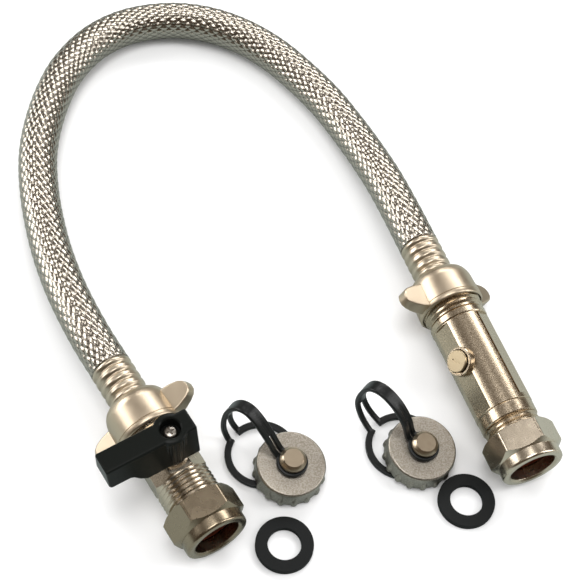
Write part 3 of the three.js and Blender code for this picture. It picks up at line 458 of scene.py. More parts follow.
def socket_bore():
    return [[PIPE_STOP, WATERWAY / 2], [PIPE_STOP, PIPE_HOLE / 2], [BODY_START + 2.3, PIPE_HOLE / 2],
            [BODY_START, 8.6]]

def hose_thread(start, rim):
    crest, end = LARGE_THREAD / 2, rim + BODY_IN_NUT
    return [[start, LARGE_ROOT], [rim + 0.5, LARGE_ROOT], [rim + 0.6, crest], [end - 0.8, crest],
            [end, crest - 0.8]]

print("a pipe goes", PIPE_STOP - BODY_START, "mm into the body")

# %% [markdown]
# The lever valve's body is an eight-sided barrel between two threaded ends, with a round boss for the stem.
# One turned outline can't hold the flats, so the barrel is cut from a bar, given turned ends and joined to
# the core.
# %% Lever valve body
STEM_AT = 29
CHAMBER = 13.8
LEVER_BARREL, BARREL_START, BARREL_END = 17.7, 22, 36.6
NECK = SMALL_THREAD / 2 - 0.8
barrel_radius, tube_radius = LEVER_BARREL / 2, CHAMBER / 2 + 0.4
core = spun(mouth_outline(BARREL_START - 1) + [
    [BARREL_START - 0.4, NECK], [BARREL_START, barrel_radius - 0.05], [BARREL_END, barrel_radius - 0.05],
    [BARREL_END + 0.3, NECK], *hose_thread(BARREL_END + 0.6, LEVER_RIM),
    [LEVER_RIM + BODY_IN_NUT, CHAMBER / 2], [BARREL_START, CHAMBER / 2], [BARREL_START, WATERWAY / 2],
    *socket_bore()], closed=True)
rounding = spun([[BARREL_START, 0], [BARREL_START, barrel_radius - 0.1], [BARREL_START + 0.7, 9.5],
                 [BARREL_END - 0.7, 9.5], [BARREL_END, barrel_radius - 0.1], [BARREL_END, 0]])
barrel = combine("INTERSECT", bar(8, LEVER_BARREL, BARREL_START, BARREL_END, 22.5), rounding)
boss = upright(spun([[6, 0], [6, 6.3], [7.6, 6.1], [8.6, 5.6], [9.7, 5.6], [10, 5.3], [10, 0]]), STEM_AT)
tube = spun([[BARREL_START - 1, 0], [BARREL_START - 1, tube_radius], [BARREL_END + 1, tube_radius],
             [BARREL_END + 1, 0]])
stem_hole = upright(spun([[4, 0], [4, 3.1], [5, 3.1], [5, 4.1], [8.4, 4.1], [8.4, 3.1], [11, 3.1], [11, 0]]),
                    STEM_AT)
lever_body = combine("UNION", core, combine("DIFFERENCE", combine("UNION", barrel, boss), tube))
lever_body = combine("DIFFERENCE", lever_body, stem_hole)
lever_body = merged(lever_body, *visible_threads(BARREL_START - 1, BARREL_END + 0.6, LEVER_RIM))
piece("lever_valve_casting", lever_body, LEVER_END, NICKEL, "loop", "lever_valve_body", edge=0.15)

# %% [markdown]
# The handle is one black moulding. It is deep at the hub and stepped under the long arm, and its sides draw
# in towards the top so that it leaves the mould. A side view pushed across gives the steps, and a wedge cut
# over it gives the draft. Scaling the top face would narrow the arm's ends as well.
# %% Lever
UNDER, LEVER_TOP = 10.3, 25
HUB = 5.4
FLUTES, FLUTE_RING, FLUTE_RADIUS = 24, 5.6, 0.55
CLEAR_OF_ARMS = 0.72
SWAP_Y_AND_Z = Matrix(((1, 0, 0, 0), (0, 0, 1, 0), (0, 1, 0, 0), (0, 0, 0, 1)))

def block(centre, size):
    bm = bmesh.new()
    bmesh.ops.create_cube(bm, size=1, matrix=Matrix.Translation(centre) @ Matrix.Diagonal((*size, 1)))
    return bm

arms = slab([(-7.2, LEVER_TOP), (-7.8, UNDER), (10.8, UNDER), (13.2, 12.3), (15.2, 14.9), (16.4, 15.5),
             (22.6, 15.6), (23.1, 16.4), (23.5, LEVER_TOP)], -8, 8)
arms.transform(X_TO_Y_TO_Z)
draft = slab([(-5.2, UNDER - 1), (5.2, UNDER - 1), (3.65, LEVER_TOP + 1), (-3.65, LEVER_TOP + 1)], -26, 26)
draft.transform(SWAP_Y_AND_Z)
bmesh.ops.recalc_face_normals(draft, faces=draft.faces)
arms = combine("INTERSECT", arms, draft)
round_edges(arms, 0.9)
print("arms", len(arms.faces), "faces")

# %% [markdown]
# Fine flutes round the hub help the fingers, and the screw sits deep in a round well. Small turned cutters
# stand in a ring for the flutes, because a bump in the finish would leave the hub's outline smooth. Cutters
# that would fall inside the arms are skipped.
# %% Hub, flutes and well
hub = upright(spun([[UNDER, 0], [UNDER, HUB], [LEVER_TOP - 0.9, HUB], [LEVER_TOP - 0.3, 5.2],
                    [LEVER_TOP, 4.7], [LEVER_TOP, 0]]))
flutes = []
for i in range(FLUTES):
    turn = math.radians(360 / FLUTES * i)
    if abs(math.sin(turn)) < CLEAR_OF_ARMS:
        cutter = spun([[UNDER - 1, 0], [UNDER - 1, FLUTE_RADIUS], [LEVER_TOP - 1.6, FLUTE_RADIUS],
                       [LEVER_TOP - 1, 0]], steps=12)
        flutes.append(upright(cutter, FLUTE_RING * math.cos(turn), FLUTE_RING * math.sin(turn)))
hub = combine("DIFFERENCE", hub, *flutes)
well = upright(spun([[18, 0], [18, 1.5], [21, 1.5], [21, 3.3], [LEVER_TOP - 0.4, 3.3], [LEVER_TOP, 3.7],
                     [LEVER_TOP + 1, 3.7], [LEVER_TOP + 1, 0]]))
stem_socket = block((0, 0, 14.3), (4.8, 4.8, 10))
handle = combine("DIFFERENCE", combine("UNION", arms, hub), well, stem_socket)
handle.transform(Matrix.Translation((STEM_AT, 0, 0)))
print("flutes", len(flutes))
piece("lever_handle", handle, LEVER_END, BLACK, "lever_group", "lever", edge=0.12)

# %% [markdown]
# A small steel screw holds the handle on its stem. Its head is turned, and two narrow blocks cut the cross
# slot. A drawn cross would do from far off, but the slot's depth is what darkens it.
# %% Handle screw
SLOT_WIDTH, SLOT_LENGTH, SLOT_DEPTH = 0.55, 2.6, 1.6
head = upright(spun([[13.5, 0], [13.5, 1.25], [21.3, 1.25], [21.3, 2.3], [22.3, 2.3], [22.7, 2.05],
                     [23, 1.5], [23.05, 0]]), STEM_AT)
slots = [block((STEM_AT, 0, 23), (SLOT_LENGTH, SLOT_WIDTH, SLOT_DEPTH)),
         block((STEM_AT, 0, 23), (SLOT_WIDTH, SLOT_LENGTH, SLOT_DEPTH))]
piece("handle_screw", combine("DIFFERENCE", head, *slots), LEVER_END, STEEL, "lever_group", "lever_screw",
      edge=0.05)

# %% [markdown]
# The check valve's long body is turned down at both ends, with narrow collars beside its middle. It takes
# both check units and keeps a shoulder for each. One closed outline holds the outside and the stepped bore
# together, so nothing has to be cut out of it later.
# %% Core of the check valve
CHECK_BARREL = 18.8
CHAMBER_ONE, CHAMBER_TWO = 14.4, 15
FIRST_AT, SECOND_AT = 20.3, 45.3
PANEL_START, PANEL_END = 21, 56
check_neck, thread_start = PANEL_START - 4.5, CHECK_RIM - 2 * LARGE_PITCH
collar = CHECK_BARREL / 2 + 0.3
core = spun(mouth_outline(check_neck) + [
    [check_neck, NECK], [PANEL_START - 4.2, collar - 0.25], [PANEL_START - 3.9, collar],
    [PANEL_START - 0.2, collar], [PANEL_START + 0.3, collar - 0.2], [PANEL_START + 0.6, NECK],
    [PANEL_END - 0.6, NECK], [PANEL_END - 0.2, collar], [PANEL_END + 0.2, collar + 0.3],
    [thread_start - 0.9, collar + 0.3], [thread_start - 0.6, collar], [thread_start - 0.3, NECK],
    *hose_thread(thread_start, CHECK_RIM), [CHECK_RIM + BODY_IN_NUT, CHAMBER_TWO / 2],
    [SECOND_AT - GAP, CHAMBER_TWO / 2], [SECOND_AT - GAP, CHAMBER_ONE / 2], [FIRST_AT - GAP, CHAMBER_ONE / 2],
    [FIRST_AT - GAP, WATERWAY / 2], *socket_bore()], closed=True)
print("core", len(core.faces), "faces")

# %% [markdown]
# Between its ends the body is a round bar with four milled flats and a groove beside the right one. An
# eight-sided bar would be simpler, but the round stretches between the flats carry the long highlights. So
# the bar is spun, and broad blocks mill it as a cutter would. Each flat is given by how far it is turned to
# the left.
# %% Milled bar
BAR_ROUND, BAR_SHOULDER, BAR_HOLLOW = 9.85, 9.4, 7.7
FLAT_AT, FLAT_MIDDLE = 9.25, (PANEL_START + PANEL_END) / 2
CUTTER_DEPTH, CUTTER_WIDTH = 3, 12
LONG_FLAT, SHORT_FLAT, SHORT_FLAT_SHIFT = 34, 32.8, 0.8
GROOVE_TURN, GROOVE_WIDTH, GROOVE_CUT = 25, 0.95, 2.1
FLATS = ((62, LONG_FLAT, 0), (-118, LONG_FLAT, 0), (-45.5, SHORT_FLAT, SHORT_FLAT_SHIFT),
         (134.5, SHORT_FLAT, SHORT_FLAT_SHIFT))
inside = [[PANEL_START - 1, 0], [PANEL_START - 1, BAR_HOLLOW], [PANEL_END + 1, BAR_HOLLOW],
          [PANEL_END + 1, 0]]
round_bar = spun([[PANEL_START, 0], [PANEL_START, BAR_SHOULDER], [PANEL_START + 0.35, BAR_ROUND],
                  [PANEL_END - 0.35, BAR_ROUND], [PANEL_END, BAR_SHOULDER], [PANEL_END, 0]])
cutters = []
for to_left, length, shift in FLATS:
    cutter = block((FLAT_MIDDLE + shift, 0, FLAT_AT + CUTTER_DEPTH / 2), (length, CUTTER_WIDTH, CUTTER_DEPTH))
    cutters.append(turn_about_axis(cutter, -to_left))
milled_bar = combine("DIFFERENCE", round_bar, *cutters, spun(inside))
groove = turn_about_axis(block((FLAT_MIDDLE + SHORT_FLAT_SHIFT, 0, BAR_ROUND),
                               (SHORT_FLAT, GROOVE_WIDTH, GROOVE_CUT)), GROOVE_TURN)
print("milled bar", len(milled_bar.faces), "faces")

# %% [markdown]
# A straight boss stands out of the bar beside its left flat, and a small plug in it lets a plumber test
# whether the valve holds. Both point the same way, so one helper aims them. The bar keeps a low edge angle,
# so that the shallow edges of its flats stay crisp. The shape stays within a millimetre of the CAD bar.
# %% Check valve body
PLUG_AT, PLUG_TURN = 40.75, 53.5
BOSS_RADIUS, BOSS_TOP, CUP_RADIUS = 4.9, 11.25, 4.1

def toward_plug(bm):
    bm.transform(Matrix.Translation((PLUG_AT, 0, 0)) @ Matrix.Rotation(math.radians(-PLUG_TURN), 4, "X"))
    return bm

boss = toward_plug(upright(spun([[6.3, 0], [6.3, BOSS_RADIUS], [BOSS_TOP - 0.25, BOSS_RADIUS],
                                 [BOSS_TOP, BOSS_RADIUS - 0.2], [BOSS_TOP, 0]])))
boss = combine("DIFFERENCE", boss, spun(inside))
cup = toward_plug(upright(spun([[5, 0], [5, 2.3], [9.5, 2.3], [9.5, CUP_RADIUS], [12, CUP_RADIUS], [12, 0]])))
check_body = combine("DIFFERENCE", combine("UNION", core, milled_bar, boss), cup, groove)
check_body = merged(check_body, *visible_threads(check_neck, thread_start, CHECK_RIM))
piece("check_valve_bar", check_body, CHECK_END, BLASTED_NICKEL, "loop", "check_valve_body",
      edge=0.12, angle=14)

# %% [markdown]
# The test plug is a flat-faced turning with a shallow mark across it. Its rim is broken so little that a
# normal edge angle would smooth it into the face and make the plug look domed, so a lower one is used.
# %% Test plug
PLUG_RADIUS, PLUG_TOP, MARK_TURN = 3.75, 12.35, -58
plug = upright(spun([[7.8, 0], [7.8, 1.9], [10.6, 1.9], [10.6, PLUG_RADIUS], [12.1, PLUG_RADIUS],
                     [12.25, PLUG_RADIUS - 0.07], [PLUG_TOP, PLUG_RADIUS - 0.25], [PLUG_TOP, 0]]))
mark = block((0, 0, PLUG_TOP + 0.05), (0.45, 3.4, 0.5))
mark.transform(Matrix.Rotation(math.radians(MARK_TURN), 4, "Z"))
plug = toward_plug(combine("DIFFERENCE", plug, mark))
piece("brass_test_plug", plug, CHECK_END, PLUG_PLATE, "loop", "test_plug", edge=0.05, angle=20)

# %% [markdown]
# Inside the bar two poppets close against the flow. Each has a steel spring of four and a half turns behind
# it, wound here from a round wire. A curve with a bevel would draw the same coil, but a spun mesh has
# closed ends at once. When a poppet lifts, its spring is pressed together against the housing's end, and a
# piece that is pressed keeps a plain mesh, so its modifiers are taken off.
# %% Check springs
WIRE_RADIUS, COIL_RADIUS, COILS = 0.35, 2.6, 4.5
COIL_STEPS, WIRE_SIDES = 32, 12
for which, start in (("first", FIRST_AT), ("second", SECOND_AT)):
    low, high = start + 5.1, start + 13.7
    coil = bmesh.new()
    bmesh.ops.create_circle(coil, cap_ends=True, radius=WIRE_RADIUS, segments=WIRE_SIDES,
                            matrix=Matrix.Translation((low + WIRE_RADIUS, COIL_RADIUS, 0)))
    steps = int(COIL_STEPS * COILS)
    climb = (high - low - 2 * WIRE_RADIUS) / steps
    swept(coil, next(iter(coil.faces)), (1, 0, 0), 2 * math.pi * COILS, steps, (climb, 0, 0))
    spring = piece(f"{which}_spring", coil, CHECK_END, STEEL, "loop", f"check_spring_{which}",
                   angle=60)
    spring.modifiers.clear()
    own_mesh(spring)

# %% [markdown]
# The hose is a rubber tube in a plain weave of stainless wire. Sixteen bundles run round it each way and
# cross over and under each other, so every bundle shows as a row of small pads that lean one way, beside a
# row that leans the other way. Real wires would take millions of faces. The shader works out which bundle
# is on top in each cell of the weave, and draws its pad and the single wires in it. It also paints shade
# into the colour: the low hollows between pads and between wires are coloured dark, as if in shadow.
# %% Braid finish
CARRIERS = 16
WIRES_IN_PAD, WIRE_HEIGHT, BRAID_BUMP = 5, 0.16, 0.45
# Painted shade: the first colour is painted into the low hollows between pads and wires, where shade falls;
# the second is the wire colour on the raised parts.
HOLLOW_SHADE_COLOUR, WIRE_COLOUR = (0.11, 0.097, 0.082), (0.46, 0.42, 0.36)
SHADE_UP_TO, WIRE_FROM = 0.12, 0.55
PAD_ENDS, PAD_SIDES = 0.7, 0.4

def calc(tree, kind, one, two=None):
    node = tree.nodes.new("ShaderNodeMath")
    node.operation = kind
    for socket, value in zip(node.inputs, (one, two)):
        if isinstance(value, (int, float)):
            socket.default_value = value
        elif value is not None:
            tree.links.new(value, socket)
    return node.outputs[0]

def choose(tree, share, one, two):
    """The first value where share is 1, and the second where it is 0."""
    rest = calc(tree, "SUBTRACT", 1, share)
    return calc(tree, "ADD", calc(tree, "MULTIPLY", one, share), calc(tree, "MULTIPLY", two, rest))

def arch(tree, share, power):
    """Rises from 0 to 1 and falls back to 0 while share runs from 0 to 1."""
    return calc(tree, "POWER", calc(tree, "SINE", calc(tree, "MULTIPLY", share, math.pi)), power)

def braid_material():
    mat = material("stainless braid", (0.55, 0.52, 0.47), metal=1, rough=0.25)
    tree = mat.node_tree
    uv = tree.nodes.new("ShaderNodeUVMap")
    uv.uv_map = "braid"
    split = tree.nodes.new("ShaderNodeSeparateXYZ")
    tree.links.new(uv.outputs["UV"], split.inputs[0])
    one = calc(tree, "ADD", split.outputs[0], split.outputs[1])
    two = calc(tree, "SUBTRACT", split.outputs[0], split.outputs[1])
    cell = calc(tree, "ADD", calc(tree, "FLOOR", one), calc(tree, "FLOOR", two))
    first_on_top = calc(tree, "COMPARE", calc(tree, "FLOORED_MODULO", cell, 2), 0)
    first_on_top.node.inputs[2].default_value = 0.5
    part_one, part_two = calc(tree, "FRACT", one), calc(tree, "FRACT", two)
    across = choose(tree, first_on_top, part_one, part_two)
    along = choose(tree, first_on_top, part_two, part_one)
    pad = calc(tree, "MULTIPLY", arch(tree, along, PAD_ENDS), arch(tree, across, PAD_SIDES))
    ripple = calc(tree, "SINE", calc(tree, "MULTIPLY", across, WIRES_IN_PAD * math.pi))
    wires = calc(tree, "ABSOLUTE", ripple)
    height = calc(tree, "ADD", pad, calc(tree, "MULTIPLY", wires, WIRE_HEIGHT))
    # Painted shade: the weave is coloured darker where it lies lower, so its hollows look shaded.
    two_tone(tree, height, HOLLOW_SHADE_COLOUR, WIRE_COLOUR, SHADE_UP_TO, WIRE_FROM)
    add_relief(tree, height, BRAID_BUMP)
    return mat

BRAID = braid_material()
print("braid finish", len(BRAID.node_tree.nodes), "nodes")

# %% [markdown]
# The hose lies in one wide loop, lifts by a few millimetres at both ends and leaves both ferrules straight.
# A curve object could follow these points, but the weave needs even steps along it. So the smooth line is
# worked out here and read off at a sixth of a pad.
# %% Route of the hose
HOSE_WIDTH = 14
PAD, STEPS_IN_PAD = 2.15 * MM, 6
STEPS_BETWEEN_POINTS = 24
ROUTE = [(-74.9, 242, 3.4), (-82.7, 256.9, 1.6), (-88.2, 269.8, 0.3), (-93.3, 284.5, 0), (-97.1, 300.5, 0),
         (-98.2, 314.5, 0), (-97.2, 331.4, 0), (-94.1, 345.1, 0), (-86.6, 359.4, 0), (-75.4, 369.5, 0),
         (-59.8, 375.3, 0), (-45.5, 375.7, 0), (-31.4, 371.8, 0), (-18.1, 364.4, 0), (-6.1, 354.3, 0),
         (4.9, 343.1, 0), (14.4, 330.5, 0.4), (21.8, 318.7, 1.8), (29.4, 304.6, 4)]

def smooth_line(points, spacing):
    """A smooth curve through the points that doesn't overshoot them, read off at even steps."""
    ends = [points[0] * 2 - points[1], *points, points[-1] * 2 - points[-2]]
    fine = []
    for a, b, c, d in zip(ends, ends[1:], ends[2:], ends[3:]):
        k1 = max((b - a).length ** 0.5, 1e-6)
        k2 = k1 + (c - b).length ** 0.5
        k3 = k2 + (d - c).length ** 0.5
        for i in range(STEPS_BETWEEN_POINTS):
            t = k1 + (k2 - k1) * i / STEPS_BETWEEN_POINTS
            ab = a.lerp(b, t / k1)
            bc = b.lerp(c, (t - k1) / (k2 - k1))
            cd = c.lerp(d, (t - k2) / (k3 - k2))
            fine.append(ab.lerp(bc, t / k2).lerp(bc.lerp(cd, (t - k1) / (k3 - k1)), (t - k1) / (k2 - k1)))
    fine.append(points[-1])
    length = sum((q - p).length for p, q in zip(fine, fine[1:]))
    count = round(length / spacing)
    even, walked, place = [fine[0]], 0.0, 1
    for p, q in zip(fine, fine[1:]):
        gap = (q - p).length
        while place < count and walked + gap >= place * length / count:
            even.append(p.lerp(q, (place * length / count - walked) / gap))
            place += 1
        walked += gap
    even.append(fine[-1])
    return even, length

def hose_end(place, rim, beyond):
    """A point on a valve's axis, so far beyond its ferrule."""
    return place @ Vector((rim + WING_NUT_LENGTH + FERRULE_LENGTH + 2 * GAP + beyond, 0, 0))

route = [hose_end(LEVER_END, LEVER_RIM, 0), hose_end(LEVER_END, LEVER_RIM, HOSE_WIDTH)]
route += [(Vector((x, y, lift + HOSE_WIDTH / 2 + 0.1)) - MIDDLE) * MM for x, y, lift in ROUTE]
route += [hose_end(CHECK_END, CHECK_RIM, HOSE_WIDTH), hose_end(CHECK_END, CHECK_RIM, 0)]
line, HOSE_LENGTH = smooth_line(route, PAD / STEPS_IN_PAD)
print("route", round(HOSE_LENGTH, 4), "m long in", len(line) - 1, "steps")

# %% [markdown]
# The woven surface starts as a flat grid that is wrapped round the route, with the pads pushed out as real
# relief. A plain tube with a bump would keep a smooth outline, and the braid's knobbly edge would be lost.
# The layout counts bundles round and along, so the relief and the finish fall on the same pads.
# %% Woven hose
AROUND = 96
PAD_RISE = 0.3
NUDGE = 1e-6

def pad_height(one, two):
    across, along = one % 1, two % 1
    if (math.floor(one) + math.floor(two)) % 2:
        across, along = along, across
    return max(math.sin(math.pi * along), 0) ** PAD_ENDS * max(math.sin(math.pi * across), 0) ** PAD_SIDES

def on_route(around, along):
    """The point on the woven surface after so many steps round the tube and along the route."""
    i, angle = round(along), 2 * math.pi * around / AROUND
    ahead = (line[min(i + 1, len(line) - 1)] - line[max(i - 1, 0)]).normalized()
    side = Vector((ahead.y, -ahead.x, 0)).normalized()
    one, two = (around * CARRIERS / AROUND + way * i / STEPS_IN_PAD / 2 + NUDGE for way in (1, -1))
    radius = (HOSE_WIDTH / 2 - PAD_RISE + PAD_RISE * pad_height(one, two)) * MM
    return line[i] + radius * (math.cos(angle) * side + math.sin(angle) * side.cross(ahead))

woven = bmesh.new()
uv_layer = woven.loops.layers.uv.new("braid")
bmesh.ops.create_grid(woven, x_segments=AROUND, y_segments=len(line) - 1, size=0.5)
bmesh.ops.transform(woven, verts=woven.verts, matrix=Matrix.Diagonal((AROUND, len(line) - 1, 1, 1))
                    @ Matrix.Translation((0.5, 0.5, 0)))
for face in woven.faces:
    for loop in face.loops:
        loop[uv_layer].uv = (loop.vert.co.x * CARRIERS / AROUND, loop.vert.co.y / STEPS_IN_PAD / 2)
for v in woven.verts:
    v.co = on_route(v.co.x, v.co.y)
bmesh.ops.remove_doubles(woven, verts=woven.verts, dist=NUDGE)
bmesh.ops.holes_fill(woven, edges=woven.edges)
bmesh.ops.recalc_face_normals(woven, faces=woven.faces)
open_edges = sum(len(e.link_faces) != 2 for e in woven.edges)
print("woven hose", len(woven.faces), "faces,", open_edges, "open edges")

# %% [markdown]
# In use the hose bends. Here the woven mesh is shaded smoothly, given the braid finish and moved with the
# loop, and the CAD hose it stands for is hidden.
# %% Hose
hose = smoothed(woven, "woven_hose")
dress(hose, BRAID, "loop", "braided_hose")

# %% [markdown]
# Each blanking cap stands on its rim, tilted because one side of it rests on the ring of its own strap. The
# tilt could be set by eye, but then a thicker strap would cut into the cap. So it is worked out from the
# height of the ring and from how far away the ring holds the rim up.
# %% Places of the caps
CAP_HEIGHT, LUG_REACH, RIM_INSET = 7.4, 12, 0.4
STRAP_THICK, RING_WIDTH = 1.5, 24
CAPS = {
    "left": {"at": (6.1, 189.8), "turn": 150.1, "ring_at": 10.8,
             "fold": [(8.8, 17), (13.8, 22.8), (17, 24.6), (20.2, 23.6), (23.4, 18.8), (25, 12), (24.6, 5)]},
    "right": {"at": (47.6, 200.8), "turn": 147, "ring_at": 6.3,
              "fold": [(7.2, 17.6), (12.2, 23.2), (17.4, 25.2), (21.2, 23.8), (24, 18), (24.6, 10.4),
                       (21.6, 4.4)]},
}

def cap_tilt(side):
    ring_at = CAPS[side]["ring_at"]
    low_rim = (ring_at ** 2 + LUG_REACH ** 2 - (RING_WIDTH / 2) ** 2) / (2 * ring_at) - RIM_INSET
    return math.asin((STRAP_THICK + GAP) / (LUG_REACH + low_rim))

def cap_place(side):
    return laid(*CAPS[side]["at"], 0, CAPS[side]["turn"])

def cap_lean(side):
    tilt = cap_tilt(side)
    return Matrix.Translation((0, 0, LUG_REACH * math.sin(tilt))) @ Matrix.Rotation(-tilt, 4, "Y")

for side in CAPS:
    print(side, "cap leans", round(math.degrees(cap_tilt(side)), 1), "degrees")

# %% [markdown]
# A cap is a shallow nickel cup with sixteen small ribs for the fingers and a thread inside. The ribs could
# be an array modifier, but they have to be one with the wall before it is hollowed. So each is a turned
# post on the rim, joined to the shell, and one cut then clears the inside of all of them.
# %% Blanking caps
CAP_RADIUS, CAP_INSIDE = 11.3, 10.5
RIBS, RIB_RING = 16, 10.7

def blanking_cap(side):
    shell = upright(spun([[0, 0], [0, CAP_RADIUS - 0.2], [0.2, CAP_RADIUS], [CAP_HEIGHT - 1, CAP_RADIUS],
                          [CAP_HEIGHT - 0.6, 11.2], [CAP_HEIGHT - 0.25, 10.95], [CAP_HEIGHT, 10.5],
                          [CAP_HEIGHT, 0]]))
    ribs = []
    for i in range(RIBS):
        turn = 2 * math.pi * i / RIBS
        rib = spun([[0.12, 0], [0.12, 1.15], [0.3, 1.3], [2.1, 1.3], [2.8, 1.15], [3.5, 0.85], [5.4, 0.65],
                    [6, 0]], steps=24)
        ribs.append(upright(rib, RIB_RING * math.cos(turn), RIB_RING * math.sin(turn)))
    hollow = upright(spun([[-1, 0], [-1, 10.8], [0, 10.8], [0.5, CAP_INSIDE], [CAP_HEIGHT - 1.8, CAP_INSIDE],
                           [CAP_HEIGHT - 1.8, 2.2], [CAP_HEIGHT + 1, 2.2], [CAP_HEIGHT + 1, 0]]))
    cup = combine("DIFFERENCE", combine("UNION", shell, *ribs), hollow)
    thread = upright(screw_thread(0.8, 2, LARGE_PITCH, CAP_INSIDE, 9.8, inside=True))
    piece(f"{side}_cap", merged(cup, thread), cap_place(side) @ cap_lean(side), CAP_NICKEL, f"cap_{side}",
          f"blanking_cap_{side}", edge=0.12)

# %% [markdown]
# A post is riveted into the middle of each cap. The eye of the strap sits in a groove below its head,
# loosely enough for the cap to turn. Post, groove and head come off the lathe together, so they are one
# outline here, and no join has to be hidden.
# %% Cap posts
def cap_post(side):
    foot, base, head = CAP_HEIGHT - 2.8, CAP_HEIGHT + GAP, CAP_HEIGHT + 2 * GAP + STRAP_THICK
    post = upright(spun([[foot, 0], [foot, 2.9], [CAP_HEIGHT - 2.6, 3], [CAP_HEIGHT - 2.1, 3],
                         [CAP_HEIGHT - 2.1, 1.9], [base, 1.9], [base, 3], [head, 3], [head, 4],
                         [head + 0.15, 4.2], [head + 0.4, 4.3], [head + 1.4, 4.3], [head + 1.55, 4.22],
                         [head + 2.45, 3.35], [head + 2.6, 3.15], [head + 2.6, 0]]))
    piece(f"{side}_cap_post", post, cap_place(side) @ cap_lean(side), PLATED_BRASS, f"cap_{side}",
          f"cap_post_{side}", angle=30)

for side in CAPS:
    blanking_cap(side)
    cap_post(side)

# %% [markdown]
# The strap takes the most skill: one soft moulding with a big ring at one end and a small eye at the other.
# It is folded over by hand, so the band between them is slit into two strands that spread to meet the open
# ring. A curve with a bevel can't split in two. So a small rounded section is carried in a straight line
# first, and then every point of the bar is moved onto the fold, a little to the left or right as the
# strands part.
# %% Strands along a fold
STRAND = 1.8
CORNER_POINTS = 4
FOLD_STEPS, FOLD_SPACING = 60, 0.25
STRAND_ROUNDING, RING_ROUNDING = 0.42, 0.3

def rounded_section(bm, width, thick, round_by):
    corners = [(1, 1, 0), (-1, 1, 90), (-1, -1, 180), (1, -1, 270)]
    points = []
    for sx, sy, start in corners:
        for step in range(CORNER_POINTS):
            turn = math.radians(start + 90 / (CORNER_POINTS - 1) * step)
            points.append((sx * (width / 2 - round_by) + round_by * math.cos(turn),
                           sy * (thick / 2 - round_by) + round_by * math.sin(turn)))
    return bm.faces.new([bm.verts.new((x, y, 0)) for x, y in points])

def carried(points, width, thick, sideways):
    """A bar bent along (along, up) points. The sideways function says how far to the left it stands."""
    line, _ = smooth_line([Vector((along, 0, up)) for along, up in points], FOLD_SPACING)
    bm = bmesh.new()
    face = rounded_section(bm, width, thick, STRAND_ROUNDING)
    swept(bm, face, (0, 0, 1), 0, FOLD_STEPS, (0, 0, 1 / FOLD_STEPS))
    for v in bm.verts:
        share = min(max(v.co.z, 0), 1)
        at = min(int(share * (len(line) - 1)), len(line) - 2)
        part = share * (len(line) - 1) - at
        ahead = (line[min(at + 2, len(line) - 1)] - line[max(at - 1, 0)]).normalized()
        v.co = (line[at].lerp(line[at + 1], part) + Vector((0, v.co.x + sideways(share), 0))
                + v.co.y * Vector((-ahead.z, 0, ahead.x)))
    bmesh.ops.recalc_face_normals(bm, faces=bm.faces)
    return bm

# %% [markdown]
# The ring and the eye are open where the strands run into them, like the real moulding. A full torus would
# close that opening, so the same rounded section is carried round by less than a full turn.
# %% Ring, eye and strap
RING_BAND, RING_OPENING, RING_STEPS = 2.2, 3.4, 88
EYE_WIDTH, EYE_BAND, EYE_OPENING, EYE_EDGE = 10.2, 1.8, 1.6, 4.2
PART_AT, PART_BY, HALF_SLIT = 0.62, 1.2, 0.35

def open_ring(outside, band, opening, height=0.0):
    start = math.asin(opening / outside)
    bm = bmesh.new()
    face = rounded_section(bm, band, STRAP_THICK, RING_ROUNDING)
    bm.transform(Matrix.Translation(((outside - band) / 2, 0, height + STRAP_THICK / 2))
                 @ Matrix.Rotation(math.pi / 2, 4, "X"))
    bm.transform(Matrix.Rotation(start, 4, "Z"))
    return swept(bm, face, (0, 0, 1), 2 * math.pi - 2 * start, RING_STEPS)

def spread(share):
    """How far a strand stands from the middle. From a certain share of the way on the strands part."""
    parted = PART_BY * ((share - PART_AT) / (1 - PART_AT)) ** 1.5 if share > PART_AT else 0
    return STRAND / 2 + HALF_SLIT + parted

def strap(side):
    ring_at, fold, tilt = CAPS[side]["ring_at"], CAPS[side]["fold"], cap_tilt(side)
    eye_base = CAP_HEIGHT + GAP
    middle, ring_edge = eye_base + STRAP_THICK / 2, ring_at + RING_WIDTH / 2 - RING_BAND / 2

    def lean_up(x, z):
        return (x * math.cos(tilt) - z * math.sin(tilt),
                x * math.sin(tilt) + z * math.cos(tilt) + LUG_REACH * math.sin(tilt))

    points = [lean_up(EYE_EDGE, middle), lean_up(EYE_EDGE + 1.2, middle + 0.35), *fold,
              (ring_edge + 0.5, STRAP_THICK / 2 + 0.35), (ring_edge - 0.6, STRAP_THICK / 2)]
    ring = open_ring(RING_WIDTH, RING_BAND, RING_OPENING)
    ring.transform(Matrix.Translation((ring_at, 0, 0)))
    eye = open_ring(EYE_WIDTH, EYE_BAND, EYE_OPENING, eye_base)
    eye.transform(cap_lean(side))
    joined_band = points[2:-3]
    whole = combine("UNION", ring, eye, carried(points, STRAND, STRAP_THICK, spread),
                    carried(points, STRAND, STRAP_THICK, lambda share: -spread(share)),
                    carried(joined_band, 2 * STRAND, STRAP_THICK - 0.04, lambda share: 0))
    piece(f"{side}_strap", whole, cap_place(side), STRAP_BLACK, "loop", f"cap_strap_{side}",
          angle=40)

for side in CAPS:
    strap(side)

# %% [markdown]
# Two spare washers lie beside the caps. They are stamped from rubber sheet, so their edges are square with
# only a small break, and a torus would look like an O-ring. Each is placed by its direction and distance
# from a cap.
# %% Loose washers
WASHER_RADIUS, WASHER_HOLE, WASHER_THICK = 9.25, 5.35, 2

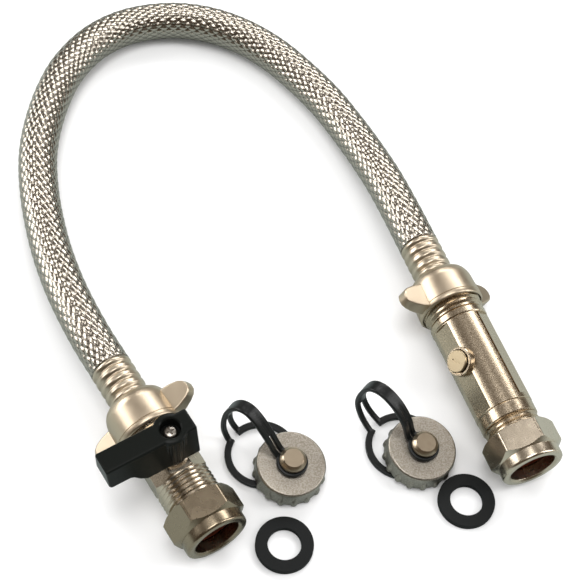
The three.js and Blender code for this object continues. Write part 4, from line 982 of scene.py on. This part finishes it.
def loose_washer(name, side, direction, space, node):
    (x, y), away = CAPS[side]["at"], LUG_REACH + WASHER_RADIUS + space
    turn = math.radians(direction)
    ring = upright(spun([[0, WASHER_HOLE], [0, WASHER_RADIUS - 0.1], [0.1, WASHER_RADIUS],
                         [WASHER_THICK - 0.1, WASHER_RADIUS], [WASHER_THICK, WASHER_RADIUS - 0.1],
                         [WASHER_THICK, WASHER_HOLE]], closed=True))
    piece(name, ring, laid(x + away * math.cos(turn), y + away * math.sin(turn), 0, 0), RUBBER, "loop", node)

loose_washer("left_washer", "left", -87, 3.8, "loose_washer_left")
loose_washer("right_washer", "right", -39.7, 0.34, "loose_washer_right")

# %% [markdown]
# The photograph looks down steeply from the front with a slight roll. The camera could be aimed at a
# target, but a target takes no roll, so its three directions are worked out and set as one matrix.
# %% Camera
IMAGE_SIZE, FOCAL_LENGTH, SENSOR = 581, 1352, 36
CAMERA_AT = (-0.016, -0.217, 0.39958)
DIP, ROLL = math.radians(56.92), math.radians(6.70)
scene = bpy.context.scene
scene.render.resolution_x = scene.render.resolution_y = IMAGE_SIZE
scene.view_settings.view_transform = "Standard"
camera = bpy.data.objects.new("camera", bpy.data.cameras.new("camera"))
scene.collection.objects.link(camera)
scene.camera = camera
camera.data.sensor_width, camera.data.lens = SENSOR, SENSOR * FOCAL_LENGTH / IMAGE_SIZE
camera.data.clip_start, camera.data.clip_end = 0.01, 20
across, forward = Vector((1, 0, 0)), Vector((0, math.cos(DIP), -math.sin(DIP)))
level_up = Vector((0, math.sin(DIP), math.cos(DIP)))
right = math.cos(ROLL) * across + math.sin(ROLL) * level_up
up = -math.sin(ROLL) * across + math.cos(ROLL) * level_up
camera.matrix_world = Matrix.Translation(CAMERA_AT) @ Matrix((right, up, -forward)).transposed().to_4x4()
print("camera at", [round(v, 3) for v in camera.matrix_world.translation])

# %% [markdown]
# The loop was photographed on a pale table. Bright metal shows mostly what it reflects, and a table that is
# as pale in every reflection would wash out the undersides. So rays that bounce off metal see a darker
# table than the camera does.
# %% Table
FLOOR_SIZE, FLOOR_LEVEL = 4, -0.0001
TABLE_TONE, TABLE_IN_METAL = (0.86, 0.86, 0.86), (0.38, 0.43, 0.42)

def by_ray(tree, seen, mirrored):
    """One colour for most rays, and another for rays that bounced off something glossy."""
    rays, tone = tree.nodes.new("ShaderNodeLightPath"), tree.nodes.new("ShaderNodeMix")
    tone.data_type = "RGBA"
    tone.inputs[6].default_value, tone.inputs[7].default_value = (*seen, 1), (*mirrored, 1)
    tree.links.new(rays.outputs["Is Glossy Ray"], tone.inputs[0])
    return tone.outputs[2]

floor_bm = bmesh.new()
bmesh.ops.create_grid(floor_bm, x_segments=1, y_segments=1, size=FLOOR_SIZE)
floor = as_object(floor_bm, "table")
floor.location.z = FLOOR_LEVEL
table = bpy.data.materials.new("table")
table.use_nodes = True
surface = table.node_tree.nodes["Principled BSDF"]
surface.inputs["Roughness"].default_value = 0.9
table_tone = by_ray(table.node_tree, TABLE_TONE, TABLE_IN_METAL)
table.node_tree.links.new(table_tone, surface.inputs["Base Color"])
floor.data.materials.append(table)
floor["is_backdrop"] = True
print("table", 2 * FLOOR_SIZE, "m wide")

# %% [markdown]
# Four large soft boxes stand round the table, as in a small studio: their long reflections are what draws
# the shape of each fitting. Small lamps would leave hard sparks on the plate. The room itself is a plain
# grey that turns dark and warm in reflections.
# %% Lights and room
AIM = Vector((0, 0.03, 0))
ROOM_TONE, ROOM_IN_METAL = (0.6, 0.6, 0.6), (0.10, 0.075, 0.05)

def soft_box(name, place, size, power):
    light = bpy.data.lights.new(name, "AREA")
    light.shape, light.size, light.size_y, light.energy = "RECTANGLE", *size, power
    obj = bpy.data.objects.new(name, light)
    obj.location = place
    obj.rotation_euler = (AIM - Vector(place)).to_track_quat("-Z", "Y").to_euler()
    scene.collection.objects.link(obj)

soft_box("left_box", (-1.0, 0.25, 0.45), (0.9, 0.5), 8)
soft_box("right_box", (0.9, 0.1, 0.6), (0.35, 0.9), 5)
soft_box("back_box", (0.15, 1.1, 0.9), (1.2, 0.4), 10)
soft_box("top_box", (-0.1, -0.1, 1.4), (0.6, 0.8), 8.5)
if scene.world is None:
    scene.world = bpy.data.worlds.new("room")
scene.world.use_nodes = True
room_tree = scene.world.node_tree
room = room_tree.nodes["Background"]
room_tree.links.new(by_ray(room_tree, ROOM_TONE, ROOM_IN_METAL), room.inputs["Color"])
room.inputs["Strength"].default_value = 1
print("lights", len(bpy.data.lights))

# %% [markdown]
# The relief of the braid and the rounded edges could make the dressed model grow out of the frame.
# %% Sizes and finish
low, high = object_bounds()
